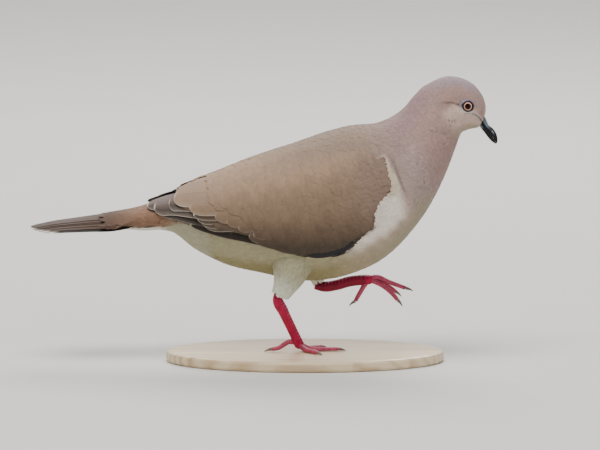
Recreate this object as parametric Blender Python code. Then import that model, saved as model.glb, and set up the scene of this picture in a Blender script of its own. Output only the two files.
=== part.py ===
"""A white-tipped dove in mid stride: a still, life-size museum model on a plain oval base.

Metres, +Z up. The dove walks along +X, its right side is at -Y, and the origin is the centre
of the base's underside. The right foot stands on the base and the left one is lifted in front.

The body is one lofted surface, given by ribs: flat sections from the tail coverts to the bill.
A place on it is a rib number, which may lie between two ribs, and an angle round the body, from
0 at the back to 180 degrees at the belly, positive on the left side and negative on the right.
"""

import math

import bmesh
import bpy
import numpy as np

MM = 0.001
GAP = 0.3 * MM  # between neighbouring solids

BASE_LENGTH = 156 * MM
BASE_WIDTH = 92 * MM
BASE_THICKNESS = 6 * MM
BASE_EDGE = 1.5 * MM
FLOOR = BASE_THICKNESS + GAP  # the level that the standing foot's soles are cut to

# Each rib: back (x, z), belly (x, z), half width, and how far the widest line lies above (+)
# or below (-) the rib's middle. Millimetres.
RIBS = {
    "tail coverts": ((-93.5, 87.3), (-91.5, 73.7), 13.0, 0.10),
    "tail root": ((-78.5, 92.3), (-74.5, 73.4), 16.5, 0.10),
    "vent": ((-65.5, 97.1), (-61.5, 63.8), 21.5, 0.10),
    "rump": ((-50.5, 103.4), (-45.0, 55.4), 26.0, 0.10),
    "loins": ((-31.0, 112.5), (-24.0, 50.2), 30.0, 0.10),
    "back": ((-8.5, 121.6), (0.0, 45.8), 32.5, 0.08),
    "mantle": ((11.0, 129.0), (24.0, 49.1), 33.8, 0.05),
    "shoulder": ((26.5, 132.9), (45.0, 59.1), 33.2, 0.00),
    "breast": ((39.2, 134.0), (60.5, 74.8), 30.5, -0.05),
    "neck base": ((47.6, 137.2), (71.1, 90.3), 25.5, -0.05),
    "neck": ((55.0, 142.5), (79.0, 106.9), 20.5, -0.05),
    "nape": ((61.6, 150.2), (84.0, 120.2), 16.0, -0.05),
    "occiput": ((67.2, 155.4), (86.8, 127.9), 13.0, -0.05),
    "crown": ((81.0, 160.4), (90.5, 130.4), 11.3, -0.05),
    "brow": ((94.5, 155.3), (94.0, 131.3), 10.0, -0.05),
    "forehead": ((99.8, 147.7), (95.8, 131.6), 7.8, -0.10),
    "lores": ((100.9, 142.2), (97.0, 131.9), 5.4, -0.10),
    "bill root": ((100.3, 137.5), (97.5, 132.4), 3.0, 0.00),
}
TRUNK_ENDS = (0.0, 8.2)
NECK_ENDS = (8.2, 12.0)
HEAD_ENDS = (12.0, 17.0)
TRUNK_RINGS = 21
NECK_RINGS = 9
HEAD_RINGS = 15
AROUND = 24  # points in each ring
BODY_RADIUS = 28 * MM  # the trunk's usual radius, which turns a length into an angle
RIB_LENGTH = 17 * MM  # the usual distance between two ribs of the trunk

# The folded wing: rib number, the angles of its upper and lower edge in degrees, the height of
# its outer face above the body's surface and that of its inner face. Below 0 it is let into
# the body. Millimetres.
WING = (
    (1.46, 28, 34, 3.6, 0.7),
    (1.55, 10, 52, 3.9, 0.7),
    (2.06, 6, 69, 4.0, 0.6),
    (2.50, 6, 80, 3.9, 0.6),
    (2.88, 6, 93, 3.5, 0.6),
    (3.50, 8, 98, 2.7, 0.1),
    (3.86, 9, 105, 2.3, -0.6),
    (4.40, 12, 114, 1.5, -1.6),
    (5.00, 17, 122, 0.8, -2.2),
    (5.44, 22, 126, 0.4, -2.5),
    (5.92, 27, 126, 0.2, -2.7),
    (6.46, 33, 118, 0.0, -2.7),
    (6.92, 38, 109, 0.0, -2.6),
    (7.30, 42, 97, 0.0, -2.4),
    (7.64, 48, 92, 0.0, -2.2),
    (7.78, 58, 84, 0.0, -2.0),
)
# The tips of the primaries, which lie under the folded wing's hind end, given the same way.
PRIMARIES = (
    (0.33, 24, 34, 2.2, 0.8),
    (0.44, 10, 49, 2.4, 0.7),
    (0.64, 6, 62, 2.4, 0.6),
    (1.14, 6, 80, 2.3, 0.5),
    (1.78, 14, 88, 2.2, 0.5),
    (2.40, 40, 96, 2.1, 0.5),
    (2.90, 70, 103, 2.0, 0.5),
    (3.30, 88, 105, 1.9, 0.6),
)
WING_STEPS = (18, 8)
PRIMARY_STEPS = (11, 6)
ROW_EASING = 0.55  # how far a wing's rows crowd towards its ends: 0 is evenly, 1 is fully
CUT_DEPTH = 3 * MM  # how far a cutter stands out of the surface that it cuts

# The closed tail, from its root: x, top line z, half width, thickness at the middle and how far
# its sides droop. Millimetres.
TAIL = (
    (-94.2, 86.9, 12.9, 13.4, 0.2),
    (-101.0, 85.4, 13.8, 10.8, 2.2),
    (-109.0, 84.2, 15.0, 7.0, 4.2),
    (-118.0, 82.9, 16.2, 4.2, 5.0),
    (-128.0, 81.3, 17.3, 2.8, 4.4),
    (-139.0, 79.7, 18.0, 2.2, 3.4),
    (-147.0, 78.1, 18.2, 1.8, 3.0),
    (-153.6, 76.7, 17.4, 1.4, 2.4),
)
TAIL_FEATHERS = 12
TAIL_CORNER = 10.5 * MM  # how much shorter the outermost tail feathers are
TAIL_NOTCH = 1.3 * MM  # depth of the notches between the feathers' tips
TAIL_THINNING = 0.93  # how much the tail's section narrows to its sides: 1 ends in an edge
TAIL_RINGS = 7

# The bill: culmen (x, z), gape (x, z), lower edge (x, z) and half width. Millimetres.
BILL = (
    ((100.7, 137.0), (99.0, 133.9), (97.9, 132.0), 2.7),
    ((102.3, 133.3), (100.6, 131.9), (99.0, 130.6), 2.4),
    ((104.6, 131.3), (102.6, 129.6), (100.8, 128.3), 2.1),
    ((106.2, 129.2), (104.1, 127.6), (102.3, 126.3), 1.8),
    ((107.2, 126.8), (105.4, 125.5), (103.9, 124.5), 1.4),
    ((107.5, 124.6), (106.3, 123.8), (105.4, 123.3), 0.9),
    ((107.3, 123.0), (107.0, 122.8), (106.7, 122.6), 0.4),
)
BILL_ARCH = 9  # points across each half's section
LOWER_BILL_SHARE = 0.9  # the lower half's width, as a share of the upper half's

EYE_CENTRE = (90.5, 7.3, 144.55)
EYE_RADIUS = 4.2
SOCKET_GAP = 1.3 * GAP  # wider than the gap, because flat facets cut inside a sphere's radius

# Each leg's thigh, a feathered cone: centre (x, y, z), fore-and-aft radius and side radius. Then
# the bare leg's line, from inside the thigh to the middle of the foot, and its radii, to the
# side and fore and aft, at even shares of that line. Millimetres, y outwards.
THIGHS = {
    "right": (
        ((-6.0, 14.5, 66.0), 13.5, 8.5),
        ((-7.2, 17.2, 57.5), 12.4, 8.5),
        ((-9.5, 18.4, 48.8), 9.8, 7.8),
        ((-12.4, 17.9, 42.4), 6.8, 5.6),
        ((-14.2, 17.2, 39.2), 4.7, 4.3),
    ),
    "left": (
        ((-2.5, 14.0, 66.0), 12.5, 8.0),
        ((1.2, 16.8, 57.0), 11.3, 8.4),
        ((5.0, 17.9, 49.4), 8.2, 7.2),
        ((7.6, 17.9, 44.8), 5.6, 5.2),
        ((8.6, 17.7, 42.2), 4.2, 4.0),
    ),
}
SHANKS = {
    "right": (
        (-14.6, 17.1, 41.0),
        (-15.2, 16.6, 37.4),
        (-12.1, 13.8, 29.9),
        (-6.8, 8.5, 18.0),
        (-3.4, 5.0, 10.2),
    ),
    "left": (
        (5.6, 17.6, 40.3),
        (10.5, 17.3, 39.6),
        (17.9, 17.0, 40.6),
        (25.2, 16.3, 42.7),
        (35.8, 15.0, 43.9),
    ),
}
SHANK_RADII = {
    "right": ((1.8, 2.2), (2.6, 3.1), (2.2, 2.85), (2.0, 2.75), (2.0, 2.7), (2.4, 2.8)),
    "left": ((1.8, 2.2), (2.6, 3.0), (2.3, 3.0), (2.3, 3.0), (2.3, 3.0), (2.5, 2.9)),
}
SHANK_LENGTH = 31
SHANK_SPLIT = 0.82  # the share of its length at which the shank ends and the foot begins
SHANK_RINGS = 8
THIGH_RINGS = 8
THIGH_SIDES = 10

# Each toe: which way it points, seen from above, from +X outwards in degrees, its bones as
# (length in millimetres, pitch in degrees) and its claw's pitch. The first bone starts in the
# middle of the foot.
TOES = {
    "right": {
        "hind": (172, ((5.2, 16), (7.5, -27), (4.0, -9)), -2),
        "inner": (-36, ((6.6, -24), (5.0, -3), (4.8, 0)), 0),
        "middle": (-3, ((7.2, -23), (8.0, -2), (8.0, 0)), 0),
        "outer": (49, ((6.6, -24), (5.0, -3), (5.0, 0)), 0),
    },
    "left": {
        "hind": (178, ((2.7, -54), (5.4, -59), (6.2, -61)), -22),
        "inner": (-12, ((3.5, -15), (6.2, -26), (5.2, -39), (5.8, -48)), -36),
        "middle": (1, ((4.2, 19), (8.3, -20), (10.0, -20)), -6),
        "outer": (22, ((6.3, -12), (7.0, -28), (5.5, -35)), -24),
    },
}
TOE_ORDER = ("hind", "inner", "middle", "outer")
TOE_RADII = (1.6, 1.45, 1.3, 1.15)
CLAW_LENGTH = 4.6
TOE_RINGS = 6
CLAW_RADII = (0.8, 0.6, 0.3)
CLAW_FLATNESS = 0.85  # a claw's width, as a share of its height
CLAW_BEND = 32  # degrees that a claw turns down along its length
CLAW_STEPS = 4
FOOT_RADIUS = 2.8
SIDEWAYS = np.array((0.0, 1.0, 0.0))

COLOURS = {  # linear red, green, blue, and roughness
    "back feathers": ((0.25, 0.19, 0.14), 0.7),
    "neck feathers": ((0.33, 0.24, 0.22), 0.7),
    "pale feathers": ((0.55, 0.50, 0.42), 0.75),
    "wing feathers": ((0.22, 0.16, 0.11), 0.65),
    "flight feathers": ((0.09, 0.07, 0.06), 0.6),
    "leg skin": ((0.38, 0.02, 0.05), 0.45),
    "bill horn": ((0.015, 0.016, 0.02), 0.3),
    "claw horn": ((0.09, 0.06, 0.06), 0.35),
    "eye": ((0.30, 0.09, 0.03), 0.08),
    "base wood": ((0.52, 0.40, 0.27), 0.45),
}


def clear_scene():
    for obj in list(bpy.data.objects):
        bpy.data.objects.remove(obj)


def material(name):
    """The named material, made on first use."""
    found = bpy.data.materials.get(name)
    if found:
        return found
    colour, roughness = COLOURS[name]
    made = bpy.data.materials.new(name)
    made.use_nodes = True
    shader = made.node_tree.nodes["Principled BSDF"]
    shader.inputs["Base Color"].default_value = (*colour, 1)
    shader.inputs["Roughness"].default_value = roughness
    return made


def smooth(knots, values, at, steady=False):
    """A smooth curve through values at the knots: cubic pieces that share each knot's slope.
    A steady curve stays between the values of the two knots on either side."""
    knots = np.asarray(knots, float)
    values = np.asarray(values, float).reshape(len(knots), -1)
    at = np.asarray(at, float)
    step = np.diff(knots)[:, None]
    slope = np.diff(values, axis=0) / step
    tangent = np.empty_like(values)
    tangent[1:-1] = (slope[:-1] * step[1:] + slope[1:] * step[:-1]) / (step[1:] + step[:-1])
    tangent[0] = 1.5 * slope[0] - 0.5 * tangent[1]
    tangent[-1] = 1.5 * slope[-1] - 0.5 * tangent[-2]
    if steady:
        before = np.concatenate([slope[:1], slope])
        after = np.concatenate([slope, slope[-1:]])
        most = 3 * np.minimum(np.abs(before), np.abs(after)) * (before * after > 0)
        tangent = np.clip(tangent, -most, most)
    piece = np.clip(np.searchsorted(knots, at, side="right") - 1, 0, len(knots) - 2)
    width = step[piece]
    t = ((at - knots[piece])[..., None]) / width
    return (
        (2 * t**3 - 3 * t**2 + 1) * values[piece]
        + (t**3 - 2 * t**2 + t) * width * tangent[piece]
        + (3 * t**2 - 2 * t**3) * values[piece + 1]
        + (t**3 - t**2) * width * tangent[piece + 1]
    )


def rib_table():
    """The ribs as rows of back x, back z, belly x, belly z, half width in metres and the share
    by which the widest line is raised, with the distance along the body at each rib."""
    rows = np.array([(*back, *belly, width, widest) for back, belly, width, widest in RIBS.values()])
    rows[:, :5] *= MM
    strides = np.diff(rows[:, :4], axis=0)
    distance = (np.hypot(strides[:, 0], strides[:, 1]) + np.hypot(strides[:, 2], strides[:, 3])) / 2
    return rows, np.concatenate([[0], np.cumsum(distance)])


RIB_ROWS, RIB_DISTANCE = rib_table()


def flat_surface(rib, angle):
    """Points of the body's surface at rib numbers and angles in radians."""
    at = np.interp(rib, np.arange(len(RIB_ROWS)), RIB_DISTANCE)
    back_x, back_z, belly_x, belly_z, width, widest = np.moveaxis(smooth(RIB_DISTANCE, RIB_ROWS, at), -1, 0)
    up = np.cos(angle)
    x = (back_x + belly_x) / 2 + (back_x - belly_x) / 2 * up
    z = (back_z + belly_z) / 2 + (back_z - belly_z) / 2 * up
    y = width * np.sin(angle) * (1 + widest * up)
    return np.stack([x, y, z], axis=-1)


def body_surface(rib, angle, lift=0.0):
    """Points at a height over the body's surface, along its normal."""
    rib, angle, lift = np.broadcast_arrays(rib, angle, lift)
    small = 1e-3
    along = flat_surface(rib + small, angle) - flat_surface(rib - small, angle)
    round_body = flat_surface(rib, angle + small) - flat_surface(rib, angle - small)
    normal = np.cross(along, round_body)
    normal /= np.linalg.norm(normal, axis=-1, keepdims=True)
    return flat_surface(rib, angle) + normal * lift[..., None]


def new_object(name, points, faces, finish, sharp=35):
    """A mesh object with its faces turned outwards, shaded smooth except at sharp edges."""
    mesh = bpy.data.meshes.new(name)
    mesh.from_pydata(np.asarray(points).tolist(), [], faces)
    work = bmesh.new()
    work.from_mesh(mesh)
    bmesh.ops.recalc_face_normals(work, faces=work.faces)
    bmesh.ops.triangulate(work, faces=work.faces)
    work.to_mesh(mesh)
    work.free()
    mesh.shade_smooth()
    mesh.set_sharp_from_angle(angle=math.radians(sharp))
    mesh.materials.append(material(finish))
    obj = bpy.data.objects.new(name, mesh)
    bpy.context.scene.collection.objects.link(obj)
    return obj


def loft(name, rings, finish):
    """A solid through closed rings of equally many points, with a flat cap on each end."""
    rings = np.asarray(rings)
    count, around = rings.shape[:2]
    faces = []
    for i in range(count - 1):
        for j in range(around):
            here, there = i * around + j, i * around + (j + 1) % around
            faces.append((here, there, there + around, here + around))
    faces.append(tuple(range(around)))
    faces.append(tuple(range((count - 1) * around, count * around)))
    return new_object(name, rings.reshape(-1, 3), faces, finish)


def shell(name, outer, inner, finish):
    """A solid between two grids of points of the same shape, closed round their rims."""
    rows, columns = outer.shape[:2]
    under = rows * columns
    faces = []
    for i in range(rows - 1):
        for j in range(columns - 1):
            here = i * columns + j
            corners = (here, here + 1, here + columns + 1, here + columns)
            faces.append(corners)
            faces.append(tuple(under + corner for corner in reversed(corners)))
    rim = [j for j in range(columns)]
    rim += [i * columns + columns - 1 for i in range(1, rows)]
    rim += [(rows - 1) * columns + j for j in range(columns - 2, -1, -1)]
    rim += [i * columns for i in range(rows - 2, 0, -1)]
    for here, there in zip(rim, rim[1:] + rim[:1]):
        faces.append((here, there, under + there, under + here))
    points = np.concatenate([outer.reshape(-1, 3), inner.reshape(-1, 3)])
    return new_object(name, points, faces, finish)


def boolean(obj, other, operation):
    """Applies a Boolean at once and removes its helper."""
    modifier = obj.modifiers.new(operation.title(), "BOOLEAN")
    modifier.operation = operation
    modifier.solver = "EXACT"
    modifier.object = other
    graph = bpy.context.evaluated_depsgraph_get()
    result = bpy.data.meshes.new_from_object(obj.evaluated_get(graph))
    obj.modifiers.clear()
    obj.data = result
    bpy.data.objects.remove(other)
    return obj


def body_piece(name, ends, count, finish, swell=0.0):
    """The lofted body between two rib numbers. Inner ends stop half a gap short."""
    steps = np.linspace(*ends, count)
    angle = np.linspace(0, 2 * math.pi, AROUND, endpoint=False)
    rings = body_surface(steps[:, None], angle[None, :], swell)
    for end, inward in ((0, 1), (-1, -2)):
        if 0 < ends[end] < len(RIBS) - 1:
            direction = rings[inward].mean(axis=0) - rings[end].mean(axis=0)
            rings[end] += direction / np.linalg.norm(direction) * GAP / 2
    return loft(name, rings, finish)


def feather_shell(name, table, steps, side, finish, spread=0.0, out=0.0, below=0.0):
    """A wing laid on the body, from a table of rib, upper and lower angle, outer and inner
    height. A cutter is the same shape with its rim spread, its outer face moved out and its
    inner face moved below."""
    rows = np.array(table, float)
    ribs = rows[:, 0]
    even = np.linspace(0, 1, steps[0])
    eased = (1 - np.cos(math.pi * even)) / 2
    rib = ribs[0] + (ribs[-1] - ribs[0]) * (ROW_EASING * eased + (1 - ROW_EASING) * even)
    upper, lower, outer, inner = np.moveaxis(smooth(ribs, rows[:, 1:], rib, steady=True), -1, 0)
    turn = math.degrees(spread / BODY_RADIUS)
    rib = rib + (2 * even - 1) * spread / RIB_LENGTH
    across = np.linspace(0, 1, steps[1])
    angle = np.radians((upper - turn)[:, None] * (1 - across) + (lower + turn)[:, None] * across)
    rib = np.broadcast_to(rib[:, None], angle.shape)
    top = body_surface(rib, side * angle, outer[:, None] * MM + out)
    bottom = body_surface(rib, side * angle, inner[:, None] * MM - below)
    return shell(name, top, bottom, finish)


def wing_bed(sign):
    """A cutter that makes room for a wing."""
    return feather_shell("bed", WING, WING_STEPS, sign, "wing feathers", GAP, CUT_DEPTH, GAP)


def tail():
    """An arched plate whose end is rounded in plan, with a notch between each two feathers."""
    rows = np.array(TAIL) * MM
    lobes = TAIL_FEATHERS
    share = np.linspace(-1, 1, 2 * lobes + 1)
    stations = np.linspace(0, 1, TAIL_RINGS)
    line = smooth(np.linspace(0, 1, len(rows)), rows, stations)
    rings = []
    for station, (x, top, width, thickness, droop) in zip(stations, line):
        towards_tip = station**3
        notch = TAIL_NOTCH * (np.arange(len(share)) % 2 == 0)
        notch[[0, -1]] = 0
        x_row = x + towards_tip * (TAIL_CORNER * share**2 + notch)
        y_row = width * np.sin(share * math.pi / 2)
        sag = droop * (y_row / width) ** 2
        half = thickness / 2 * np.sqrt(1 - TAIL_THINNING * share**2)
        middle = top - thickness / 2 - sag
        upper = np.stack([x_row, y_row, middle + half], axis=-1)
        lower = np.stack([x_row, y_row, middle - half], axis=-1)[::-1]
        rings.append(np.concatenate([upper, lower]))
    return loft("tail", rings, "flight feathers")


def limb_rings(path, radii, aside, count, ends=(0.0, 1.0), sides=8):
    """Oval rings along a smooth path, with the radii (towards aside, across that) given at even
    shares of it."""
    path, radii = np.asarray(path, float), np.asarray(radii, float)
    length = np.concatenate([[0], np.cumsum(np.linalg.norm(np.diff(path, axis=0), axis=1))])
    knots = length / length[-1]
    at = np.linspace(*ends, count)
    centre = smooth(knots, path, at)
    forward = smooth(knots, path, at + 1e-3) - smooth(knots, path, at - 1e-3)
    forward /= np.linalg.norm(forward, axis=1, keepdims=True)
    side = aside - forward * (forward @ aside)[:, None]
    side /= np.linalg.norm(side, axis=1, keepdims=True)
    across = np.cross(forward, side)
    width = smooth(np.linspace(0, 1, len(radii)), radii, at)
    turn = np.linspace(0, 2 * math.pi, sides, endpoint=False)[None, :, None]
    aside_part = width[:, :1, None] * side[:, None] * np.cos(turn)
    across_part = width[:, 1:, None] * across[:, None] * np.sin(turn)
    return (centre[:, None] + aside_part + across_part) * MM


def shank(name, side, sign, swell=0.0):
    """The bare leg from the ankle to just over the foot, or a cutter that is larger all round."""
    radii = np.array(SHANK_RADII[side]) + swell / MM
    start = -swell / MM / SHANK_LENGTH
    rings = limb_rings(shank_path(side, sign), radii, SIDEWAYS, SHANK_RINGS, (start, SHANK_SPLIT))
    return loft(name, rings, "leg skin")


def thigh(side, sign):
    """A cone of feathers, cut clear of the trunk and of the top of the bare leg inside it."""
    rows = THIGHS[side]
    path = [(x, sign * y, z) for (x, y, z), _, _ in rows]
    radii = [(across, along) for _, along, across in rows]
    rings = limb_rings(path, radii, SIDEWAYS, THIGH_RINGS, sides=THIGH_SIDES)
    cone = loft(f"thigh_{side}", rings, "pale feathers")
    trunk = body_piece("trunk_and_gap", TRUNK_ENDS, TRUNK_RINGS, "pale feathers", swell=GAP)
    boolean(cone, trunk, "DIFFERENCE")
    boolean(cone, wing_bed(sign), "DIFFERENCE")
    return boolean(cone, shank("hollow", side, sign, GAP), "DIFFERENCE")


def shank_path(side, sign):
    return [(x, sign * y, z) for x, y, z in SHANKS[side]]


def toe_side(heading, sign):
    """The level direction across a toe."""
    turn = math.radians(heading) * sign
    return np.array((-math.sin(turn), math.cos(turn), 0.0))


def toe_path(start, heading, bones, sign):
    """The toe's joints, from the middle of the foot to the claw's root."""
    turn = math.radians(heading) * sign
    points = [np.asarray(start, float)]
    for length, pitch in bones:
        level = length * math.cos(math.radians(pitch))
        rise = length * math.sin(math.radians(pitch))
        points.append(points[-1] + (level * math.cos(turn), level * math.sin(turn), rise))
    return points


def claw(name, root, heading, toe_pitch, pitch, sign):
    """A curved, tapering claw that starts a gap beyond the end of its toe."""
    turn = math.radians(heading) * sign
    start = GAP / MM + CLAW_RADII[0] * math.sin(abs(math.radians(pitch - toe_pitch)))
    point = np.asarray(root, float)
    points = []
    bends = CLAW_STEPS - 1
    for i in range(CLAW_STEPS):
        slope = math.radians(toe_pitch if i == 0 else pitch - CLAW_BEND * i / bends)
        level = math.cos(slope)
        direction = np.array((level * math.cos(turn), level * math.sin(turn), math.sin(slope)))
        point = point + direction * (start if i == 0 else CLAW_LENGTH / bends)
        points.append(point)
    radii = [(CLAW_FLATNESS * radius, radius) for radius in CLAW_RADII]
    return loft(name, limb_rings(points, radii, toe_side(heading, sign), 5), "claw horn")


def level_soles(obj):
    """Cuts off what lies below the floor, which leaves small flats at one level."""
    work = bmesh.new()
    work.from_mesh(obj.data)
    cut = bmesh.ops.bisect_plane(
        work,
        geom=work.verts[:] + work.edges[:] + work.faces[:],
        plane_co=(0, 0, FLOOR),
        plane_no=(0, 0, -1),
        clear_outer=True,
    )
    edges = [item for item in cut["geom_cut"] if isinstance(item, bmesh.types.BMEdge)]
    bmesh.ops.holes_fill(work, edges=edges)
    bmesh.ops.recalc_face_normals(work, faces=work.faces)
    work.to_mesh(obj.data)
    work.free()


def foot(side, sign):
    """The lower end of the shank, the pad and four toes as one solid, and four claws."""
    path = shank_path(side, sign)
    middle = path[-1]
    ends = (SHANK_SPLIT + GAP / MM / SHANK_LENGTH, 1.0)
    stump = limb_rings(path, SHANK_RADII[side], SIDEWAYS, 3, ends)
    joined = loft(f"foot_{side}", stump, "leg skin")
    bpy.ops.mesh.primitive_uv_sphere_add(
        segments=12, ring_count=7, radius=FOOT_RADIUS * MM, location=[value * MM for value in middle]
    )
    boolean(joined, bpy.context.object, "UNION")
    claws = []
    for toe in TOE_ORDER:
        heading, bones, claw_pitch = TOES[side][toe]
        joints = toe_path(middle, heading, bones, sign)
        radii = [(radius, radius) for radius in TOE_RADII]
        rings = limb_rings(joints, radii, toe_side(heading, sign), TOE_RINGS)
        boolean(joined, loft("toe", rings, "leg skin"), "UNION")
        name = f"claw_{side}_{toe}"
        claws.append(claw(name, joints[-1], heading, bones[-1][1], claw_pitch, sign))
    if side == "right":
        for obj in [joined, *claws]:
            level_soles(obj)
    return joined


def eye(side, sign):
    x, y, z = EYE_CENTRE
    bpy.ops.mesh.primitive_uv_sphere_add(
        segments=14,
        ring_count=9,
        radius=EYE_RADIUS * MM,
        location=(x * MM, sign * y * MM, z * MM),
        rotation=(math.pi / 2, 0, 0),
    )
    ball = bpy.context.object
    ball.name = ball.data.name = f"eye_{side}"
    ball.data.shade_smooth()
    ball.data.materials.append(material("eye"))
    return ball


def socket(head, sign):
    """Cuts an eye's seat, a gap larger than the eye, out of the head."""
    x, y, z = EYE_CENTRE
    bpy.ops.mesh.primitive_uv_sphere_add(
        segments=16,
        ring_count=10,
        radius=EYE_RADIUS * MM + SOCKET_GAP,
        location=(x * MM, sign * y * MM, z * MM),
        rotation=(math.pi / 2, 0, 0),
    )
    boolean(head, bpy.context.object, "DIFFERENCE")


def bill(name, upper):
    """One half of the closed bill: an arch that ends half a gap off the line of the gape."""
    rings = []
    for culmen, gape, keel, width in BILL:
        ridge = np.array(culmen if upper else keel)
        line = np.array(gape)
        line = line + (ridge - line) / np.linalg.norm(ridge - line) * GAP / 2 / MM
        turn = np.linspace(0, math.pi, BILL_ARCH)
        x_z = line + (ridge - line) * np.sin(turn)[:, None]
        y = width * np.cos(turn) * (1.0 if upper else LOWER_BILL_SHARE)
        rings.append(np.stack([x_z[:, 0], y, x_z[:, 1]], axis=-1) * MM)
    return loft(name, rings, "bill horn")


def stand():
    """An oval plate with rounded edges."""
    bpy.ops.mesh.primitive_cylinder_add(
        vertices=40, radius=0.5, depth=BASE_THICKNESS, location=(0, 0, BASE_THICKNESS / 2)
    )
    plate = bpy.context.object
    plate.name = plate.data.name = "stand_base"
    plate.scale = (BASE_LENGTH, BASE_WIDTH, 1)
    bpy.ops.object.transform_apply(location=True, rotation=False, scale=True)
    bevel = plate.modifiers.new("Rounded edges", "BEVEL")
    bevel.width = BASE_EDGE
    bevel.segments = 2
    plate.data.materials.append(material("base wood"))
    plate.data.shade_smooth()
    plate.data.set_sharp_from_angle(angle=math.radians(30))


def main():
    clear_scene()
    stand()
    trunk = body_piece("trunk", TRUNK_ENDS, TRUNK_RINGS, "back feathers")
    body_piece("neck", NECK_ENDS, NECK_RINGS, "neck feathers")
    head = body_piece("head", HEAD_ENDS, HEAD_RINGS, "neck feathers")
    tail()
    bill("bill_upper", True)
    bill("bill_lower", False)
    for side, sign in (("right", -1), ("left", 1)):
        eye(side, sign)
        socket(head, sign)
        wing = feather_shell(f"wing_{side}", WING, WING_STEPS, sign, "wing feathers")
        tips = (PRIMARIES, PRIMARY_STEPS, sign, "flight feathers")
        feather_shell(f"primaries_{side}", *tips)
        slot = feather_shell("slot", *tips, GAP, GAP, CUT_DEPTH)
        boolean(wing, slot, "DIFFERENCE")
        boolean(trunk, wing_bed(sign), "DIFFERENCE")
        thigh(side, sign)
        shank(f"shank_{side}", side, sign)
        foot(side, sign)


main()
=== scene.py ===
"""Dresses the white-tipped dove: skin, feathers, eyes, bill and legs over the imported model, and a stage.

Metres, +Z up, the dove walks along +X. A place on the body is a rib number and an angle round the
body, 0 at the back and pi at the belly, positive on the left side. Every feather is a closed vane
whose points are places, so that it lies along the body wherever it grows. Named lengths are in
millimetres where their comment doesn't say metres, and MM turns them into metres.
"""

import math

import bmesh
import bpy
import numpy as np
from bpy.props import FloatProperty, FloatVectorProperty, PointerProperty
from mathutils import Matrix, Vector


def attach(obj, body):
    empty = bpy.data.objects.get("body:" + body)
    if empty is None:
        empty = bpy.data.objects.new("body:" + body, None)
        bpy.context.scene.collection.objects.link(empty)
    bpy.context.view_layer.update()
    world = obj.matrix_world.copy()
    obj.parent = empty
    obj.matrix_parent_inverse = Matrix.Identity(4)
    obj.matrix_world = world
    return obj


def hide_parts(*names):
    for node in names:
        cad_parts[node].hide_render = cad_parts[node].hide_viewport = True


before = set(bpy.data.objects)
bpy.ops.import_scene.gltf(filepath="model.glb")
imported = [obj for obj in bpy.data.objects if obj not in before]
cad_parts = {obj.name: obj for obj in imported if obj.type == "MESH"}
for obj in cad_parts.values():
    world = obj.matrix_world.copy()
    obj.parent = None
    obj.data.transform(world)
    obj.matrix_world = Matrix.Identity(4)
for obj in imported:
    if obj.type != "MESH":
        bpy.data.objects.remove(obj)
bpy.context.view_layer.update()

bl_info = {
    "name": "White-tipped dove",
    "version": (1, 0, 0),
    "blender": (4, 5, 0),
    "location": "3D View > Sidebar > Dove",
    "description": "Skin, feathers, eyes, bill, legs and a stage for a still model of a dove",
    "category": "Add Mesh",
}

MM = 0.001
NUDGE = 1e-3  # the step in a coordinate that slopes are measured over

# The body's ribs, from the tail's middle to the bill: back (x, z), belly (x, z), half width and
# how far the widest line lies above the rib's middle. Millimetres. The first two carry the
# coverts out over the tail, so the tail coverts' rib is number 0.
RIBS = (
    ((-124.0, 81.5), (-122.0, 77.6), 16.6, 0.10),
    ((-108.5, 84.3), (-106.5, 75.4), 14.8, 0.10),
    ((-93.5, 87.3), (-91.5, 73.7), 13.0, 0.10),
    ((-78.5, 92.3), (-74.5, 73.4), 16.5, 0.10),
    ((-65.5, 97.1), (-61.5, 63.8), 21.5, 0.10),
    ((-50.5, 103.4), (-45.0, 55.4), 26.0, 0.10),
    ((-31.0, 112.5), (-24.0, 50.2), 30.0, 0.10),
    ((-8.5, 121.6), (0.0, 45.8), 32.5, 0.08),
    ((11.0, 129.0), (24.0, 49.1), 33.8, 0.05),
    ((26.5, 132.9), (45.0, 59.1), 33.2, 0.00),
    ((39.2, 134.0), (60.5, 74.8), 30.5, -0.05),
    ((47.6, 137.2), (71.1, 90.3), 25.5, -0.05),
    ((55.0, 142.5), (79.0, 106.9), 20.5, -0.05),
    ((61.6, 150.2), (84.0, 120.2), 16.0, -0.05),
    ((67.2, 155.4), (86.8, 127.9), 13.0, -0.05),
    ((81.0, 160.4), (90.5, 130.4), 11.3, -0.05),
    ((94.5, 155.3), (94.0, 131.3), 10.0, -0.05),
    ((99.8, 147.7), (95.8, 131.6), 7.8, -0.10),
    ((100.9, 142.2), (97.0, 131.9), 5.4, -0.10),
    ((100.3, 137.5), (97.5, 132.4), 3.0, 0.00),
)
FIRST_RIB = -2
LAST_RIB = FIRST_RIB + len(RIBS) - 1

# The folded wing: rib number, its upper and lower edge in degrees, and how far it stands over
# the body in millimetres.
WING = (
    (1.46, 28, 34, 3.6),
    (1.55, 10, 52, 3.9),
    (2.06, 6, 69, 4.0),
    (2.50, 6, 80, 3.9),
    (2.88, 6, 93, 3.5),
    (3.50, 8, 98, 2.7),
    (3.86, 9, 105, 2.3),
    (4.40, 12, 114, 1.5),
    (5.00, 17, 122, 0.8),
    (5.44, 22, 126, 0.4),
    (5.92, 27, 126, 0.2),
    (6.46, 33, 118, 0.0),
    (6.92, 38, 109, 0.0),
    (7.30, 42, 97, 0.0),
    (7.64, 48, 92, 0.0),
    (7.78, 58, 84, 0.0),
)
WING_HIND, WING_FRONT = WING[0][0], WING[-1][0]
RIB_IN_DEGREES = 25  # a rib counts as this many degrees where the two are compared

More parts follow.
